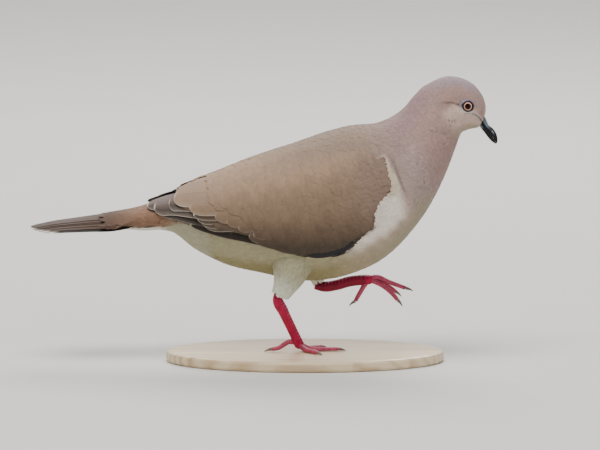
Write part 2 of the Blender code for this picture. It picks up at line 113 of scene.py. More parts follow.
# Where the pale feathers of the breast's side end over the wing: rib number and degrees.
BREAST_EDGE = (
    (7.95, 61), (7.92, 66.5), (7.88, 79.4), (7.80, 92), (7.54, 96), (7.26, 98.8), (7.06, 104),
    (6.97, 110), (6.92, 116), (6.68, 118), (6.49, 119.3), (6.29, 123), (6.07, 128), (5.77, 129),
)

TAIL_PAIRS = 6
# The closed tail, from its root: x, top line z, half width, and how far its sides droop.
TAIL = (
    (-88.0, 87.6, 12.0, 9.0),
    (-101.0, 85.4, 13.8, 9.5),
    (-109.0, 84.2, 15.0, 8.8),
    (-118.0, 82.9, 16.2, 6.6),
    (-128.0, 81.3, 17.3, 4.8),
    (-139.0, 79.7, 18.0, 3.4),
    (-147.0, 78.1, 18.2, 3.0),
    (-153.6, 76.7, 17.4, 2.4),
)

# The bill: culmen (x, z), gape (x, z), lower edge (x, z) and half width. The first row lies
# inside the head.
BILL = (
    ((99.2, 138.6), (97.7, 135.6), (96.9, 134.0), 2.4),
    ((100.7, 137.0), (99.0, 133.9), (97.9, 132.0), 2.7),
    ((102.3, 133.3), (100.6, 131.9), (99.0, 130.6), 2.4),
    ((104.6, 131.3), (102.6, 129.6), (100.8, 128.3), 2.1),
    ((106.2, 129.2), (104.1, 127.6), (102.3, 126.3), 1.8),
    ((107.2, 126.8), (105.4, 125.5), (103.9, 124.5), 1.4),
    ((107.5, 124.6), (106.3, 123.8), (105.4, 123.3), 0.9),
    ((107.3, 123.0), (107.0, 122.8), (106.7, 122.6), 0.4),
)

EYE_CENTRE = (90.5, 7.3, 144.55)
EYE_RADIUS = 4.2
EYE_PLACE = (13.63, 88.1)  # rib and degrees where the eye looks out
# Rings from inside the lids, over their edge, and out over the bare skin round the eye: radius,
# height over the head, and the share of the way to the bare skin's rim.
LID_PROFILE = (
    (2.35, -1.10, 0.0), (2.50, -0.10, 0.0), (2.76, 0.34, 0.0), (3.12, 0.38, 0.0),
    (3.45, 0.16, 0.2), (3.8, 0.10, 0.5), (4.1, 0.0, 0.85), (4.4, -0.55, 1.15),
)
LID_DEPTH = 1.3  # how far the lids' hidden face lies under the head's surface

# Each thigh: centre (x, y, z), fore-and-aft radius and side radius, y outwards.
THIGHS = {
    "right": (
        ((-6.0, 14.5, 66.0), 13.5, 8.5),
        ((-7.2, 17.2, 57.5), 12.4, 8.5),
        ((-9.5, 18.4, 48.8), 9.8, 7.8),
        ((-12.4, 17.9, 42.4), 6.8, 5.6),
        ((-14.2, 17.2, 39.2), 4.7, 4.3),
    ),
    "left": (
        ((-2.5, 14.0, 66.0), 12.5, 8.0),
        ((1.2, 16.8, 57.0), 11.3, 8.4),
        ((5.0, 17.9, 49.4), 8.2, 7.2),
        ((7.6, 17.9, 44.8), 5.6, 5.2),
        ((8.6, 17.7, 42.2), 4.2, 4.0),
    ),
}
# Each shank's centre line from the thigh to the foot, and its radii along that line: to the side,
# and across that.
SHANKS = {
    "right": (
        (-14.6, 17.1, 41.0),
        (-15.2, 16.6, 37.4),
        (-12.1, 13.8, 29.9),
        (-6.8, 8.5, 18.0),
        (-3.4, 5.0, 10.2),
    ),
    "left": (
        (5.6, 17.6, 40.3),
        (10.5, 17.3, 39.6),
        (17.9, 17.0, 40.6),
        (25.2, 16.3, 42.7),
        (35.8, 15.0, 43.9),
    ),
}
SHANK_RADII = {
    "right": ((1.8, 2.2), (2.6, 3.1), (2.2, 2.85), (2.0, 2.75), (2.0, 2.7), (2.4, 2.8)),
    "left": ((1.8, 2.2), (2.6, 3.0), (2.3, 3.0), (2.3, 3.0), (2.3, 3.0), (2.5, 2.9)),
}

# Each toe: its heading from +X outwards in degrees, its bones as (length, pitch) and its
# claw's pitch.
TOES = {
    "right": {
        "hind": (172, ((5.2, 16), (7.5, -27), (4.0, -9)), -2),
        "inner": (-36, ((6.6, -24), (5.0, -3), (4.8, 0)), 0),
        "middle": (-3, ((7.2, -23), (8.0, -2), (8.0, 0)), 0),
        "outer": (49, ((6.6, -24), (5.0, -3), (5.0, 0)), 0),
    },
    "left": {
        "hind": (178, ((2.7, -54), (5.4, -59), (6.2, -61)), -22),
        "inner": (-12, ((3.5, -15), (6.2, -26), (5.2, -39), (5.8, -48)), -36),
        "middle": (1, ((4.2, 19), (8.3, -20), (10.0, -20)), -6),
        "outer": (22, ((6.3, -12), (7.0, -28), (5.5, -35)), -24),
    },
}
TOE_RADII = (1.6, 1.45, 1.3, 1.15)
CLAW_LENGTH = 4.6
CLAW_RADII = (1.0, 0.8, 0.6, 0.38, 0.12)
CLAW_BEND = 32  # how many degrees a claw turns down from its root to its tip
SCUTE_RISE = 0.16  # how far each plate on a leg's front stands over the next
FOOT_RADIUS = 2.8
SOLE = 6.3  # the height that the standing foot rests at

SIDES = (("right", -1), ("left", 1))
BREAST_ROWS = 18  # rows of feathers along the breast's edge over each wing


def linear(code):
    """An sRGB hex colour as linear red, green and blue."""
    share = np.array([int(code[i : i + 2], 16) for i in (0, 2, 4)]) / 255
    light = np.where(share <= 0.04045, share / 12.92, ((share + 0.055) / 1.055) ** 2.4)
    return tuple(light.tolist())


def blend(first, second, share):
    """The first colour drawn to the second by the share at each place."""
    share = share[..., None]
    return np.array(first) * (1 - share) + np.array(second) * share


def step_up(value, width):
    """0 below zero and 1 above it, turning over smoothly within width on either side."""
    t = np.clip(value / (2 * width) + 0.5, 0, 1)
    return t * t * (3 - 2 * t)


def bell(value, middle, width):
    """1 at the middle, and falling away with the square of the distance over the width."""
    return np.exp(-(((value - middle) / width) ** 2))


def unit(vector):
    """Vectors made one long."""
    return vector / np.maximum(np.linalg.norm(vector, axis=-1, keepdims=True), 1e-12)


def turns(count):
    """A row of count angles that go once round."""
    return np.linspace(0, 2 * math.pi, count, endpoint=False)[None, :]


def length_along(points):
    """The length of a line of points up to each of them."""
    return np.concatenate([[0], np.cumsum(np.linalg.norm(np.diff(points, axis=0), axis=1))])


# ---------------------------------------------------------------- curves and surfaces


def smooth(knots, values, at, steady=False):
    """A smooth curve through values at the knots: cubic pieces that share each knot's slope.
    A steady curve stays between the values of the two knots on either side."""
    knots = np.asarray(knots, float)
    values = np.asarray(values, float).reshape(len(knots), -1)
    at = np.asarray(at, float)
    step = np.diff(knots)[:, None]
    slope = np.diff(values, axis=0) / step
    tangent = np.empty_like(values)
    tangent[1:-1] = (slope[:-1] * step[1:] + slope[1:] * step[:-1]) / (step[1:] + step[:-1])
    tangent[0] = 1.5 * slope[0] - 0.5 * tangent[1]
    tangent[-1] = 1.5 * slope[-1] - 0.5 * tangent[-2]
    if steady:
        before = np.concatenate([slope[:1], slope])
        after = np.concatenate([slope, slope[-1:]])
        most = 3 * np.minimum(np.abs(before), np.abs(after)) * (before * after > 0)
        tangent = np.clip(tangent, -most, most)
    piece = np.clip(np.searchsorted(knots, at, side="right") - 1, 0, len(knots) - 2)
    width = step[piece]
    t = ((at - knots[piece])[..., None]) / width
    return (
        (2 * t**3 - 3 * t**2 + 1) * values[piece]
        + (t**3 - 2 * t**2 + t) * width * tangent[piece]
        + (3 * t**2 - 2 * t**3) * values[piece + 1]
        + (t**3 - t**2) * width * tangent[piece + 1]
    )


def rib_table():
    """The ribs in metres, with the distance along the body at each."""
    rows = np.array([(*back, *belly, width, widest) for back, belly, width, widest in RIBS])
    rows[:, :5] *= MM
    strides = np.diff(rows[:, :4], axis=0)
    distance = (np.hypot(strides[:, 0], strides[:, 1]) + np.hypot(strides[:, 2], strides[:, 3])) / 2
    return rows, np.concatenate([[0], np.cumsum(distance)])


RIB_ROWS, RIB_DISTANCE = rib_table()
RIB_NUMBERS = np.arange(FIRST_RIB, LAST_RIB + 1)
WING_ROWS = np.array(WING, float)


def flat_surface(rib, angle):
    """Half an ellipse between the back and belly lines, mirrored: x and z go from belly to back
    with the cosine of the angle, y is the half width times its sine, shifted up by the rib's
    share."""
    at = np.interp(rib, RIB_NUMBERS, RIB_DISTANCE)
    back_x, back_z, belly_x, belly_z, width, widest = np.moveaxis(smooth(RIB_DISTANCE, RIB_ROWS, at), -1, 0)
    up = np.cos(angle)
    x = (back_x + belly_x) / 2 + (back_x - belly_x) / 2 * up
    z = (back_z + belly_z) / 2 + (back_z - belly_z) / 2 * up
    y = width * np.sin(angle) * (1 + widest * up)
    return np.stack([x, y, z], axis=-1)


def body_surface(rib, angle, lift=0.0):
    """The body's surface moved out along its normal by lift."""
    rib, angle, lift = np.broadcast_arrays(rib, angle, lift)
    along = flat_surface(rib + NUDGE, angle) - flat_surface(rib - NUDGE, angle)
    around = flat_surface(rib, angle + NUDGE) - flat_surface(rib, angle - NUDGE)
    return flat_surface(rib, angle) + unit(np.cross(along, around)) * lift[..., None]


def wing_edges(rib):
    """The wing's upper and lower edge in degrees and its height in metres at a rib number."""
    at = np.clip(rib, WING_HIND, WING_FRONT)
    upper, lower, height = np.moveaxis(smooth(WING_ROWS[:, 0], WING_ROWS[:, 1:], at, steady=True), -1, 0)
    return upper, lower, height * MM


def wing_surface(rib, angle, lift=0.0):
    """The folded wing's outer face, which stands its own height over the body."""
    return body_surface(rib, angle, wing_edges(rib)[2] + lift)


def wing_angle(rib, share):
    """The angle that lies a share of the way from the wing's upper edge to its lower one."""
    upper, lower, _ = wing_edges(rib)
    return np.radians(upper + (lower - upper) * share)


def in_wing(rib, degrees):
    """How many degrees a place lies inside the wing's outline, below 0 outside it."""
    upper, lower, _ = wing_edges(rib)
    ends = np.minimum(rib - WING_HIND, WING_FRONT - rib) * RIB_IN_DEGREES
    return np.minimum(np.minimum(degrees - upper, lower - degrees), ends)


def turned_down(angle):
    """Degrees from the back, 0 to 180, on either side."""
    return np.abs(np.degrees((angle + math.pi) % (2 * math.pi) - math.pi))


def tail_top(x, y):
    """The height of the closed tail's upper face: its top line less the droop times the square
    of how far out y lies."""
    _, top, width, droop = (np.interp(-x / MM, [-row[0] for row in TAIL], column) for column in zip(*TAIL))
    return (top - droop * np.minimum(y / MM / width, 1.0) ** 2) * MM


def coat_surface(rib, angle, lift=0.0):
    """The body's surface with the folded wing's height added where the wing lies, and over the
    back between the two wings. Beyond the tail's root its upper side is drawn down to the tail."""
    degrees = turned_down(angle)
    upper, _, height = wing_edges(rib)
    # The bridge over the back reaches from rib 2 to rib 5.3, and 6 degrees into each wing.
    between = step_up(upper + 6 - degrees, 3.0) * step_up(rib - 2.0, 0.45) * step_up(5.3 - rib, 0.8)
    inside = np.maximum(step_up(in_wing(rib, degrees), 3.0), between)
    place = body_surface(rib, angle, height * inside + lift)
    # Behind rib -0.5, what lies over the tail's upper face by more than 0.4 mm is drawn down.
    over = place[..., 2] - tail_top(place[..., 0], np.abs(place[..., 1])) - 0.4 * MM
    place[..., 2] -= step_up(-0.5 - rib, 0.5) * step_up(96 - degrees, 16) * np.maximum(over, 0)
    return place


def limb_surface(path, radii, aside, at, turn, lift=0.0):
    """A tube along a smooth path: the centre plus the two radii times the cosine and sine of
    the turn, along aside and across it. The path and the radii are in millimetres."""
    path, radii, aside = (np.asarray(values, float) for values in (path, radii, aside))
    at, turn, lift = np.broadcast_arrays(at, turn, lift)
    length = length_along(path)
    knots = length / length[-1]
    centre = smooth(knots, path, at)
    forward = unit(smooth(knots, path, at + NUDGE) - smooth(knots, path, at - NUDGE))
    side = unit(aside - forward * (forward @ aside)[..., None])
    across = np.cross(forward, side)
    width = smooth(np.linspace(0, 1, len(radii)), radii, at) + lift[..., None] / MM
    ring = width[..., :1] * side * np.cos(turn)[..., None] + width[..., 1:] * across * np.sin(turn)[..., None]
    return (centre + ring) * MM


def tangents(chart, a, b):
    """How far a chart's point moves for one unit of each of its two coordinates."""
    along = (chart(a + NUDGE, b, 0.0) - chart(a - NUDGE, b, 0.0)) / (2 * NUDGE)
    across = (chart(a, b + NUDGE, 0.0) - chart(a, b - NUDGE, 0.0)) / (2 * NUDGE)
    return along, across


def steps_along(along, across, direction):
    """The change in each coordinate for one metre along a direction in the surface, from the
    two equations that the tangents' products give."""
    aa, ab, bb = (along * along).sum(-1), (along * across).sum(-1), (across * across).sum(-1)
    da, db = (along * direction).sum(-1), (across * direction).sum(-1)
    scale = np.maximum(aa * bb - ab * ab, 1e-16)
    return (bb * da - ab * db) / scale, (aa * db - ab * da) / scale


# ---------------------------------------------------------------- meshes


def new_piece(name, points, faces, finish, tint=None, vane=None, bake=None, sharp=None):
    """A mesh object from an array of points and arrays of faces, with the layers that its
    material reads: tint is each point's colour, vane its place on its feather in millimetres,
    and bake its place on the bake map."""
    mesh = bpy.data.meshes.new(name)
    points = np.asarray(points, np.float32).reshape(-1, 3)
    corners = np.concatenate([np.asarray(f, np.int32).reshape(-1) for f in faces])
    sizes = np.concatenate([np.full(len(f), f.shape[1], np.int32) for f in faces])
    mesh.vertices.add(len(points))
    mesh.vertices.foreach_set("co", points.reshape(-1))
    mesh.loops.add(len(corners))
    mesh.loops.foreach_set("vertex_index", corners)
    mesh.polygons.add(len(sizes))
    mesh.polygons.foreach_set("loop_start", np.concatenate([[0], np.cumsum(sizes)[:-1]]).astype(np.int32))
    mesh.update(calc_edges=True)
    mesh.shade_smooth()
    if sharp is not None:
        mesh.set_sharp_from_angle(angle=math.radians(sharp))
    if tint is not None:
        layer = mesh.attributes.new("tint", "FLOAT_COLOR", "POINT")
        rgba = np.ones((len(points), 4), np.float32)
        rgba[:, :3] = tint.reshape(-1, 3)
        layer.data.foreach_set("color", rgba.reshape(-1))
    if vane is not None:
        layer = mesh.attributes.new("vane", "FLOAT_VECTOR", "POINT")
        layer.data.foreach_set("vector", np.asarray(vane, np.float32).reshape(-1))
    if bake is not None:
        layer = mesh.uv_layers.new(name="OFBake")
        layer.data.foreach_set("uv", np.asarray(bake, np.float32).reshape(-1, 2)[corners].reshape(-1))
    mesh.materials.append(finish)
    obj = bpy.data.objects.new(name, mesh)
    bpy.context.scene.collection.objects.link(obj)
    return obj


def grid_faces(rows, columns, wrap=False):
    """The quads of a grid of points, which may close on itself across its columns."""
    i, j = np.meshgrid(np.arange(rows - 1), np.arange(columns - (not wrap)), indexing="ij")
    after = (j + 1) % columns
    quads = [i * columns + j, i * columns + after, (i + 1) * columns + after, (i + 1) * columns + j]
    return np.stack(quads, axis=-1).reshape(-1, 4)


def tube(grid):
    """Points and faces of a closed tube through rings, each end drawn to a middle point."""
    rows, columns = grid.shape[:2]
    ends = np.stack([grid[0].mean(axis=0), grid[-1].mean(axis=0)])
    points = np.concatenate([grid.reshape(-1, 3), ends])
    j = np.arange(columns)
    after = (j + 1) % columns
    last = (rows - 1) * columns
    start = np.stack([np.full(columns, rows * columns), after, j], axis=-1)
    finish = np.stack([np.full(columns, rows * columns + 1), last + j, last + after], axis=-1)
    return points, [grid_faces(rows, columns, wrap=True), start, finish]


def with_ends(layer):
    """A layer of a tube's rings, and for its two middle points the value where their ring starts."""
    return np.concatenate([layer.reshape(-1, layer.shape[-1]), layer[:1, 0], layer[-1:, 0]])


def on_sole(side, grid):
    """A grid of the standing foot laid flat where it would go under the foot's sole."""
    if side == "right":
        grid[..., 2] = np.maximum(grid[..., 2], SOLE * MM)
    return grid


def joined(parts):
    """Several (points, faces) as one."""
    points, faces, offset = [], [], 0
    for part_points, part_faces in parts:
        points.append(part_points)
        faces += [f + offset for f in part_faces]
        offset += len(part_points)
    return np.concatenate(points), faces


def outward(obj):
    """Turns every face of a closed mesh outwards."""
    work = bmesh.new()
    work.from_mesh(obj.data)
    bmesh.ops.recalc_face_normals(work, faces=work.faces)
    work.to_mesh(obj.data)
    work.free()
    return obj


# ---------------------------------------------------------------- markings

# Soft-edged markings, each laid over those before it: colour, ribs from and to, degrees down from
# the middle of the back from and to, how soft its edge is in ribs and in degrees, and how many
# degrees it leans down for each rib. Ribs -9 and 99 lie beyond the body's ends, and -1, 181 and
# 999 degrees beyond the middle lines of back and belly. The first colour lies under all others.
BODY_MARKINGS = (
    ("mantle",),
    ("rump", -9, 4.6, -1, 130, 1.2, 15, 0),
    ("rufous", -9, 1.5, -1, 181, 0.7, 4, 0),
    ("tail_top", -9, -0.5, -1, 181, 0.7, 4, 0),
    # The belly's own buff, darkened somewhat as painted shade.
    ("belly", 1.4, 7.2, 102, 181, 0.8, 12, 0),
    # Painted shade: the belly darker and more olive between the legs, with a greenish painted reflection.
    ("belly_painted_shade", 1.4, 7.0, 140, 181, 0.8, 9, 0),
    ("tail_tip", -9, 1.0, 131, 181, 0.2, 3, 0),
    # The vent's own pale colour, darkened as painted shade with a greenish painted reflection.
    ("vent", 0.8, 2.6, 128, 999, 0.2, 5, -40),
    ("tail_dark", -9, 0.5, 124, 131, 0.2, 3, 0),
    ("breast", 6.4, 8.7, 96, 181, 0.8, 16, 0),
    ("upper_breast", 8.4, 10.4, 62, 181, 1.0, 16, 0),
    # Painted shade: the breast darker where it turns under towards the belly.
    ("breast_painted_shade", 6.0, 9.2, 134, 181, 0.8, 16, 0),
    ("breast_side", 5.9, 8.0, 93, 128, 0.25, 7, 0),
    ("breast_streak", 7.6, 8.04, 62, 84, 0.08, 6, 0),
    ("breast_streak", 7.6, 8.14, 80, 100, 0.08, 6, 0),
    ("nape", 8.3, 13.2, -1, 66, 1.5, 16, 0),
    ("neck", 9.4, 12.4, 58, 181, 0.8, 14, 0),
    # Painted shade: a dark line along the cream streak's front edge.
    ("neck_painted_shade", 8.16, 8.28, 66, 106, 0.06, 12, 0),
    ("throat", 11.6, 99, 128, 181, 0.6, 14, 0),
    ("cheek", 11.8, 99, 88, 138, 0.5, 10, 0),
    ("crown", 12.2, 99, -1, 72, 0.7, 12, 0),
    ("temple", 11.9, 14.2, 46, 82, 0.6, 14, 0),
    ("forehead", 14.2, 99, -1, 92, 0.5, 12, 0),
    ("brow", 15.4, 99, -1, 60, 0.6, 20, 0),
    ("under_eye", 12.95, 14.9, 98, 106, 0.3, 4, 3),
    ("eye_line", 13.15, 14.0, 109.5, 110.5, 0.15, 1.0, -5),
    ("eye_line", 12.25, 13.05, 73, 77, 0.15, 2.0, 20),
    # Painted shade: a dark line slanting down the neck.
    ("neck_painted_shade", 10.55, 11.1, 84, 87, 0.1, 2, 52),
    ("eye_line", 11.88, 11.98, 107, 111, 0.03, 1.5, 0),
    ("eye_line", 12.04, 12.12, 113, 117, 0.03, 1.5, 0),
    ("eye_line", 12.22, 12.30, 117, 121, 0.03, 1.5, 0),
    ("eye_line", 11.72, 11.80, 116, 119, 0.03, 1.5, 0),
    ("lores", 13.8, 16.9, 103, 108, 0.3, 2.5, 0.9),
    ("lores", 14.8, 16.9, 103, 110, 0.6, 2.5, 0.9),
)
WING_MARKINGS = (
    ("scapulars",),
    ("mantle", 4.6, 99, -1, 44, 1.4, 12, 0),
    ("tertials", -9, 2.9, -1, 181, 0.9, 10, 0),
    ("wing_middle", 1.8, 7.4, 58, 180, 1.2, 18, 1),
    ("wing_front", 6.6, 9.0, 50, 120, 0.8, 14, 0),
    ("wing_low", 2.0, 6.9, 83, 180, 1.0, 12, 4),
    ("wing_edge", 3.0, 6.9, 101, 180, 0.8, 7, 4.5),
)


def marked(markings, colours, rib, angle):
    """The colour at each place: each marking covers what is under it by a soft-edged box in rib
    and angle, whose border wavers by a share of its softness, as the sum of two sine waves."""
    degrees = turned_down(angle)
    waver = np.sin(rib * 7.3 + degrees * 0.11) + np.sin(rib * 17.1 - degrees * 0.23)
    result = np.zeros((*np.shape(rib), 3)) + np.array(getattr(colours, markings[0][0])[:])
    for name, rib_from, rib_to, from_angle, to_angle, rib_soft, angle_soft, lean in markings[1:]:
        level = degrees + 0.12 * angle_soft * waver - lean * (rib - rib_from)
        cover = step_up(rib - rib_from, rib_soft) * step_up(rib_to - rib, rib_soft)
        cover = cover * step_up(level - from_angle, angle_soft) * step_up(to_angle - level, angle_soft)
        result += (np.array(getattr(colours, name)[:]) - result) * cover[..., None]
    return result


def bake_place(rib, angle):
    """Where a place of the body lies on the bake map: the distance along the body and the
    angle round it."""
    along = np.interp(rib, RIB_NUMBERS, RIB_DISTANCE) / RIB_DISTANCE[-1]
    return np.stack([0.02 + 0.96 * along, 0.53 + 0.45 * angle / math.pi], axis=-1)


# ---------------------------------------------------------------- feathers

# Outlines of a small feather: stations along it and the half width at each.
ROUND = ((0.0, 0.30), (0.25, 0.80), (0.52, 1.0), (0.76, 0.94), (0.92, 0.62), (1.0, 0.16))
RAGGED = ((0.0, 0.25), (0.26, 0.76), (0.50, 1.0), (0.66, 0.86), (0.82, 0.78), (1.0, 0.06))
POINTED = ((0.0, 0.30), (0.22, 0.78), (0.45, 1.0), (0.68, 0.82), (0.87, 0.42), (1.0, 0.05))
VANE_ACROSS = np.array((-1.0, 0.0, 1.0))
PATCH = 0.003  # a small feather's size on the bake map


def vane_faces(stations, count):
    """Faces of count small feathers, each three points wide and closed underneath."""
    left = np.arange(stations - 1) * 3
    top_left = np.stack([left, left + 1, left + 4, left + 3], axis=-1)
    top_right = top_left + 1
    under = np.stack([left + 2, left, left + 3, left + 5], axis=-1)
    quads = np.concatenate([top_left, top_right, under])
    end = (stations - 1) * 3
    ends = np.array([(0, 2, 1), (end, end + 1, end + 2)])
    shift = np.arange(count)[:, None, None] * stations * 3
    return [(quads[None] + shift).reshape(-1, 4), (ends[None] + shift).reshape(-1, 3)]


def vanes(chart, a, b, slope, length, width, yaw, low, high, outline, camber):
    """Small feathers rooted at places (a, b) of a chart. Each station lies its share of the
    length towards lower a, along the line whose b changes by slope for each a, turned by yaw.
    It rises from low to high with the share to the power 0.35, and across it the middle stands
    camber times the width over the edges. Returns each point's place, the points, and each
    point's (across, along, share)."""
    stations = np.array(outline)
    along, across = tangents(chart, a, b)
    normal = unit(np.cross(along, across))
    forward = -unit(along + across * slope[:, None])
    side = np.cross(normal, forward)
    direction = forward * np.cos(yaw)[:, None] + side * np.sin(yaw)[:, None]
    aslant = np.cross(normal, direction)
    forward_a, forward_b = steps_along(along, across, direction)
    side_a, side_b = steps_along(along, across, aslant)
    share = stations[None, :, 0, None]
    reach = share * length[:, None, None] * np.ones((1, 1, 3))
    spread = stations[None, :, 1, None] * width[:, None, None] / 2 * VANE_ACROSS
    at_a = a[:, None, None] + forward_a[:, None, None] * reach + side_a[:, None, None] * spread
    at_b = b[:, None, None] + forward_b[:, None, None] * reach + side_b[:, None, None] * spread
    rise = low[:, None, None] + (high - low)[:, None, None] * share**0.35
    middle = np.array((0.0, 1.0, 0.0)) * width[:, None, None] * camber * stations[None, :, 1, None]
    points = chart(at_a, at_b, rise + middle)
    vane = np.stack([spread / MM, reach / MM, share * np.ones_like(reach)], axis=-1)
    return at_a, at_b, points, vane


def tufts(chart, a, b, random, size, colour, outline, wide, rise, depth, camber, uneven, slope=None,
          long=2.6, fringe=0.0, loose=0.08):
    """Small feathers with small random differences in place, length, lie and lightness. One is
    long times its size, and wide times its size to each side, and rises from depth under the
    chart to rise over it. colour gives the tint at places, and a fringe below 0 darkens the tip.
    Returns the points, their tint and vane, and each feather's own a and b."""
    count = len(a)
    along, across = tangents(chart, a, b)
    a = a + random.uniform(-0.22, 0.22, count) * size / np.linalg.norm(along, axis=-1)
    b = b + random.uniform(-0.22, 0.22, count) * size / np.linalg.norm(across, axis=-1)
    length = size * long * random.uniform(0.88, 1.12, count)
    width = size * 2 * wide * random.uniform(0.9, 1.1, count)
    yaw = random.normal(0, loose, count)
    low = -depth - 0.1 * MM * np.ones(count)
    high = rise * random.uniform(0.7, 1.3, count)
    slope = np.zeros(count) if slope is None else slope
    at_a, at_b, points, vane = vanes(chart, a, b, slope, length, width, yaw, low, high, outline, camber)
    tint = colour(at_a, at_b) * (1 + uneven * random.normal(size=(count, 1, 1, 1)))
    tip = np.clip((vane[..., 2:3] - 0.85) / 0.15, 0, 1)
    tint = np.clip(tint * (1 + fringe * tip), 0, 1)
    return points, tint, vane, a, b


def coat_piece(name, sets, outline, finish, place=bake_place):
    """One piece from several sets of small feathers. On the bake map each feather is a patch at
    its root's place."""
    points, tint, vane, a, b = (np.concatenate([part[i] for part in sets]) for i in range(5))
    along = vane[..., 2]
    patch = PATCH * np.stack([along - 0.5, 0.5 * VANE_ACROSS + 0 * along], axis=-1)
    bake = place(a, b)[:, None, None] + patch
    faces = vane_faces(len(outline), len(points))
    piece = new_piece(name, points, faces, finish, tint, vane, bake, sharp=60)
    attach(piece, "root")
    return piece


# A long feather's stations across and along it, the share of its length that its root widens
# over, its thickness in millimetres and how light its underside is beside its top.
QUILL_ACROSS = np.array((-1.0, -0.94, -0.55, -0.06, 0.0, 0.06, 0.55, 0.94, 1.0))
QUILL_ALONG = 1 - (1 - np.linspace(0, 1, 22)) ** 1.7
QUILL_ROOT = 0.12
QUILL_THICKNESS = 0.3
QUILL_UNDERSIDE = 0.55


def quill(chart, line, half, low, high, tip, camber):
    """A long feather along a smooth line of places: its half width (mm) grows from the root
    with the square root of the share, and ends in half an ellipse over the last tip share.
    Its top rises from low to high and is arched by camber times 1 - across squared. Returns its
    points, their vane, and the a and b of its upper face."""
    share, line = QUILL_ALONG, np.asarray(line, float)
    knots = np.linspace(0, 1, len(line))
    place = smooth(knots, line, share)
    ahead = smooth(knots, line, share + NUDGE) - smooth(knots, line, share - NUDGE)
    along, across = tangents(chart, place[:, 0], place[:, 1])
    direction = unit(along * ahead[:, :1] + across * ahead[:, 1:])
    aslant = np.cross(unit(np.cross(along, across)), direction)
    side_a, side_b = steps_along(along, across, aslant)
    grown = np.clip(share / QUILL_ROOT, 0.02, 1) ** 0.5
    closing = np.sqrt(np.clip(1 - (np.clip(share - (1 - tip), 0, None) / tip) ** 2, 0.0009, 1))
    reach = (half * MM * grown * closing)[:, None] * QUILL_ACROSS
    a = place[:, :1] + side_a[:, None] * reach
    b = place[:, 1:] + side_b[:, None] * reach
    arch = camber * MM * closing[:, None] * (1 - QUILL_ACROSS**2)
    height = ((low + (high - low) * share) * MM)[:, None] + arch
    top = chart(a, b, height)
    under = chart(a, b, height - QUILL_THICKNESS * MM * (1 - 0.9 * QUILL_ACROSS**6))
    length = length_along(top[:, len(QUILL_ACROSS) // 2])
    vane = np.stack([reach / MM, length[:, None] / MM + 0 * reach, share[:, None] + 0 * reach], axis=-1)
    points = np.concatenate([top.reshape(-1, 3), under.reshape(-1, 3)])
    return points, np.concatenate([vane, vane]).reshape(-1, 3), a, b


def quill_faces():
    """Top, underside and rim of one long feather."""
    rows, columns = len(QUILL_ALONG), len(QUILL_ACROSS)
    under = rows * columns
    top = grid_faces(rows, columns)
    rim = np.concatenate([
        np.arange(columns - 1),
        np.arange(rows - 1) * columns + columns - 1,
        (rows - 1) * columns + np.arange(columns - 1, 0, -1),
        np.arange(rows - 1, 0, -1) * columns,
    ])
    after = np.roll(rim, -1)
    wall = np.stack([after, rim, under + rim, under + after], axis=-1)
    return [top, under + top[:, ::-1], wall]


def quill_piece(name, chart, feathers, finish):
    """One piece from long feathers, each a dict of quill()'s settings and a tint function of
    (across share, along share, places). Each gets its own cell of the bake map."""
    columns = math.ceil(math.sqrt(len(feathers)))
    across, along = np.meshgrid(QUILL_ACROSS, QUILL_ALONG)
    parts, tints, vane_layers, bakes = [], [], [], []
    for number, (settings, tint) in enumerate(feathers):
        points, vane, a, b = quill(chart, **settings)
        parts.append((points, quill_faces()))
        colour = tint(across, along, a, b).reshape(-1, 3)
        tints += [colour, QUILL_UNDERSIDE * colour]
        vane_layers.append(vane)
        cell = [number % columns + 0.05 + 0.9 * along, number // columns + 0.5 + 0.45 * across]
        bakes.append(np.concatenate([np.stack(cell, axis=-1).reshape(-1, 2)] * 2) / columns)
    points, faces = joined(parts)
    piece = new_piece(name, points, faces, finish, np.concatenate(tints), np.concatenate(vane_layers),
                      np.concatenate(bakes), sharp=50)
    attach(piece, "root")
    return piece


def rows_across(spacing_at, rib_from, rib_to, ends, chart):
    """Places in staggered rows across the body: rows lie 0.87 of the spacing apart, feathers in
    a row one spacing apart, both by length. ends gives a row's first and last angle."""
    places = []
    rib, odd = rib_from, 0
    while rib < rib_to:
        fine = np.linspace(*ends(rib), 181)
        line = chart(np.full_like(fine, rib), fine, 0.0)
        length = length_along(line)
        spacing = spacing_at(rib)
        count = max(3, int(length[-1] / spacing))
        at = (np.arange(count) + 0.5 * odd + 0.25) / count * length[-1]
        places.append(np.stack([np.full(count, rib), np.interp(at, length, fine)], axis=-1))
        ahead = chart(np.full_like(fine, rib + 0.01), fine, 0.0)
        stretch = np.linalg.norm(ahead - line, axis=1).mean() / 0.01
        rib += 0.87 * spacing / stretch
        odd = 1 - odd
    places = np.concatenate(places)
    return places[:, 0], places[:, 1]


# ---------------------------------------------------------------- materials


def node(tree, kind, inputs=None, **settings):
    """Adds a node with its settings. Each input is a value or another node's output."""
    made = tree.nodes.new(kind)
    for name, value in settings.items():
        setattr(made, name, value)
    for socket, value in (inputs or {}).items():
        if isinstance(value, bpy.types.NodeSocket):
            tree.links.new(value, made.inputs[socket])
        else:
            made.inputs[socket].default_value = value
    return made


def stops(ramp, *colours):
    """Sets a colour ramp to (position, linear colour) stops."""
    elements = ramp.color_ramp.elements
    while len(elements) < len(colours):
        elements.new(0.5)
    for element, (position, colour) in zip(elements, colours):
        element.position = position
        element.color = (*colour, 1)
    return ramp.outputs["Color"]


def shader_of(name, values):
    """A new material, its node tree and its Principled shader, whose sockets take the values."""
    made = bpy.data.materials.new(name)
    made.use_nodes = True
    shader = made.node_tree.nodes["Principled BSDF"]
    for socket, value in values.items():
        shader.inputs[socket].default_value = value
    return made, made.node_tree, shader


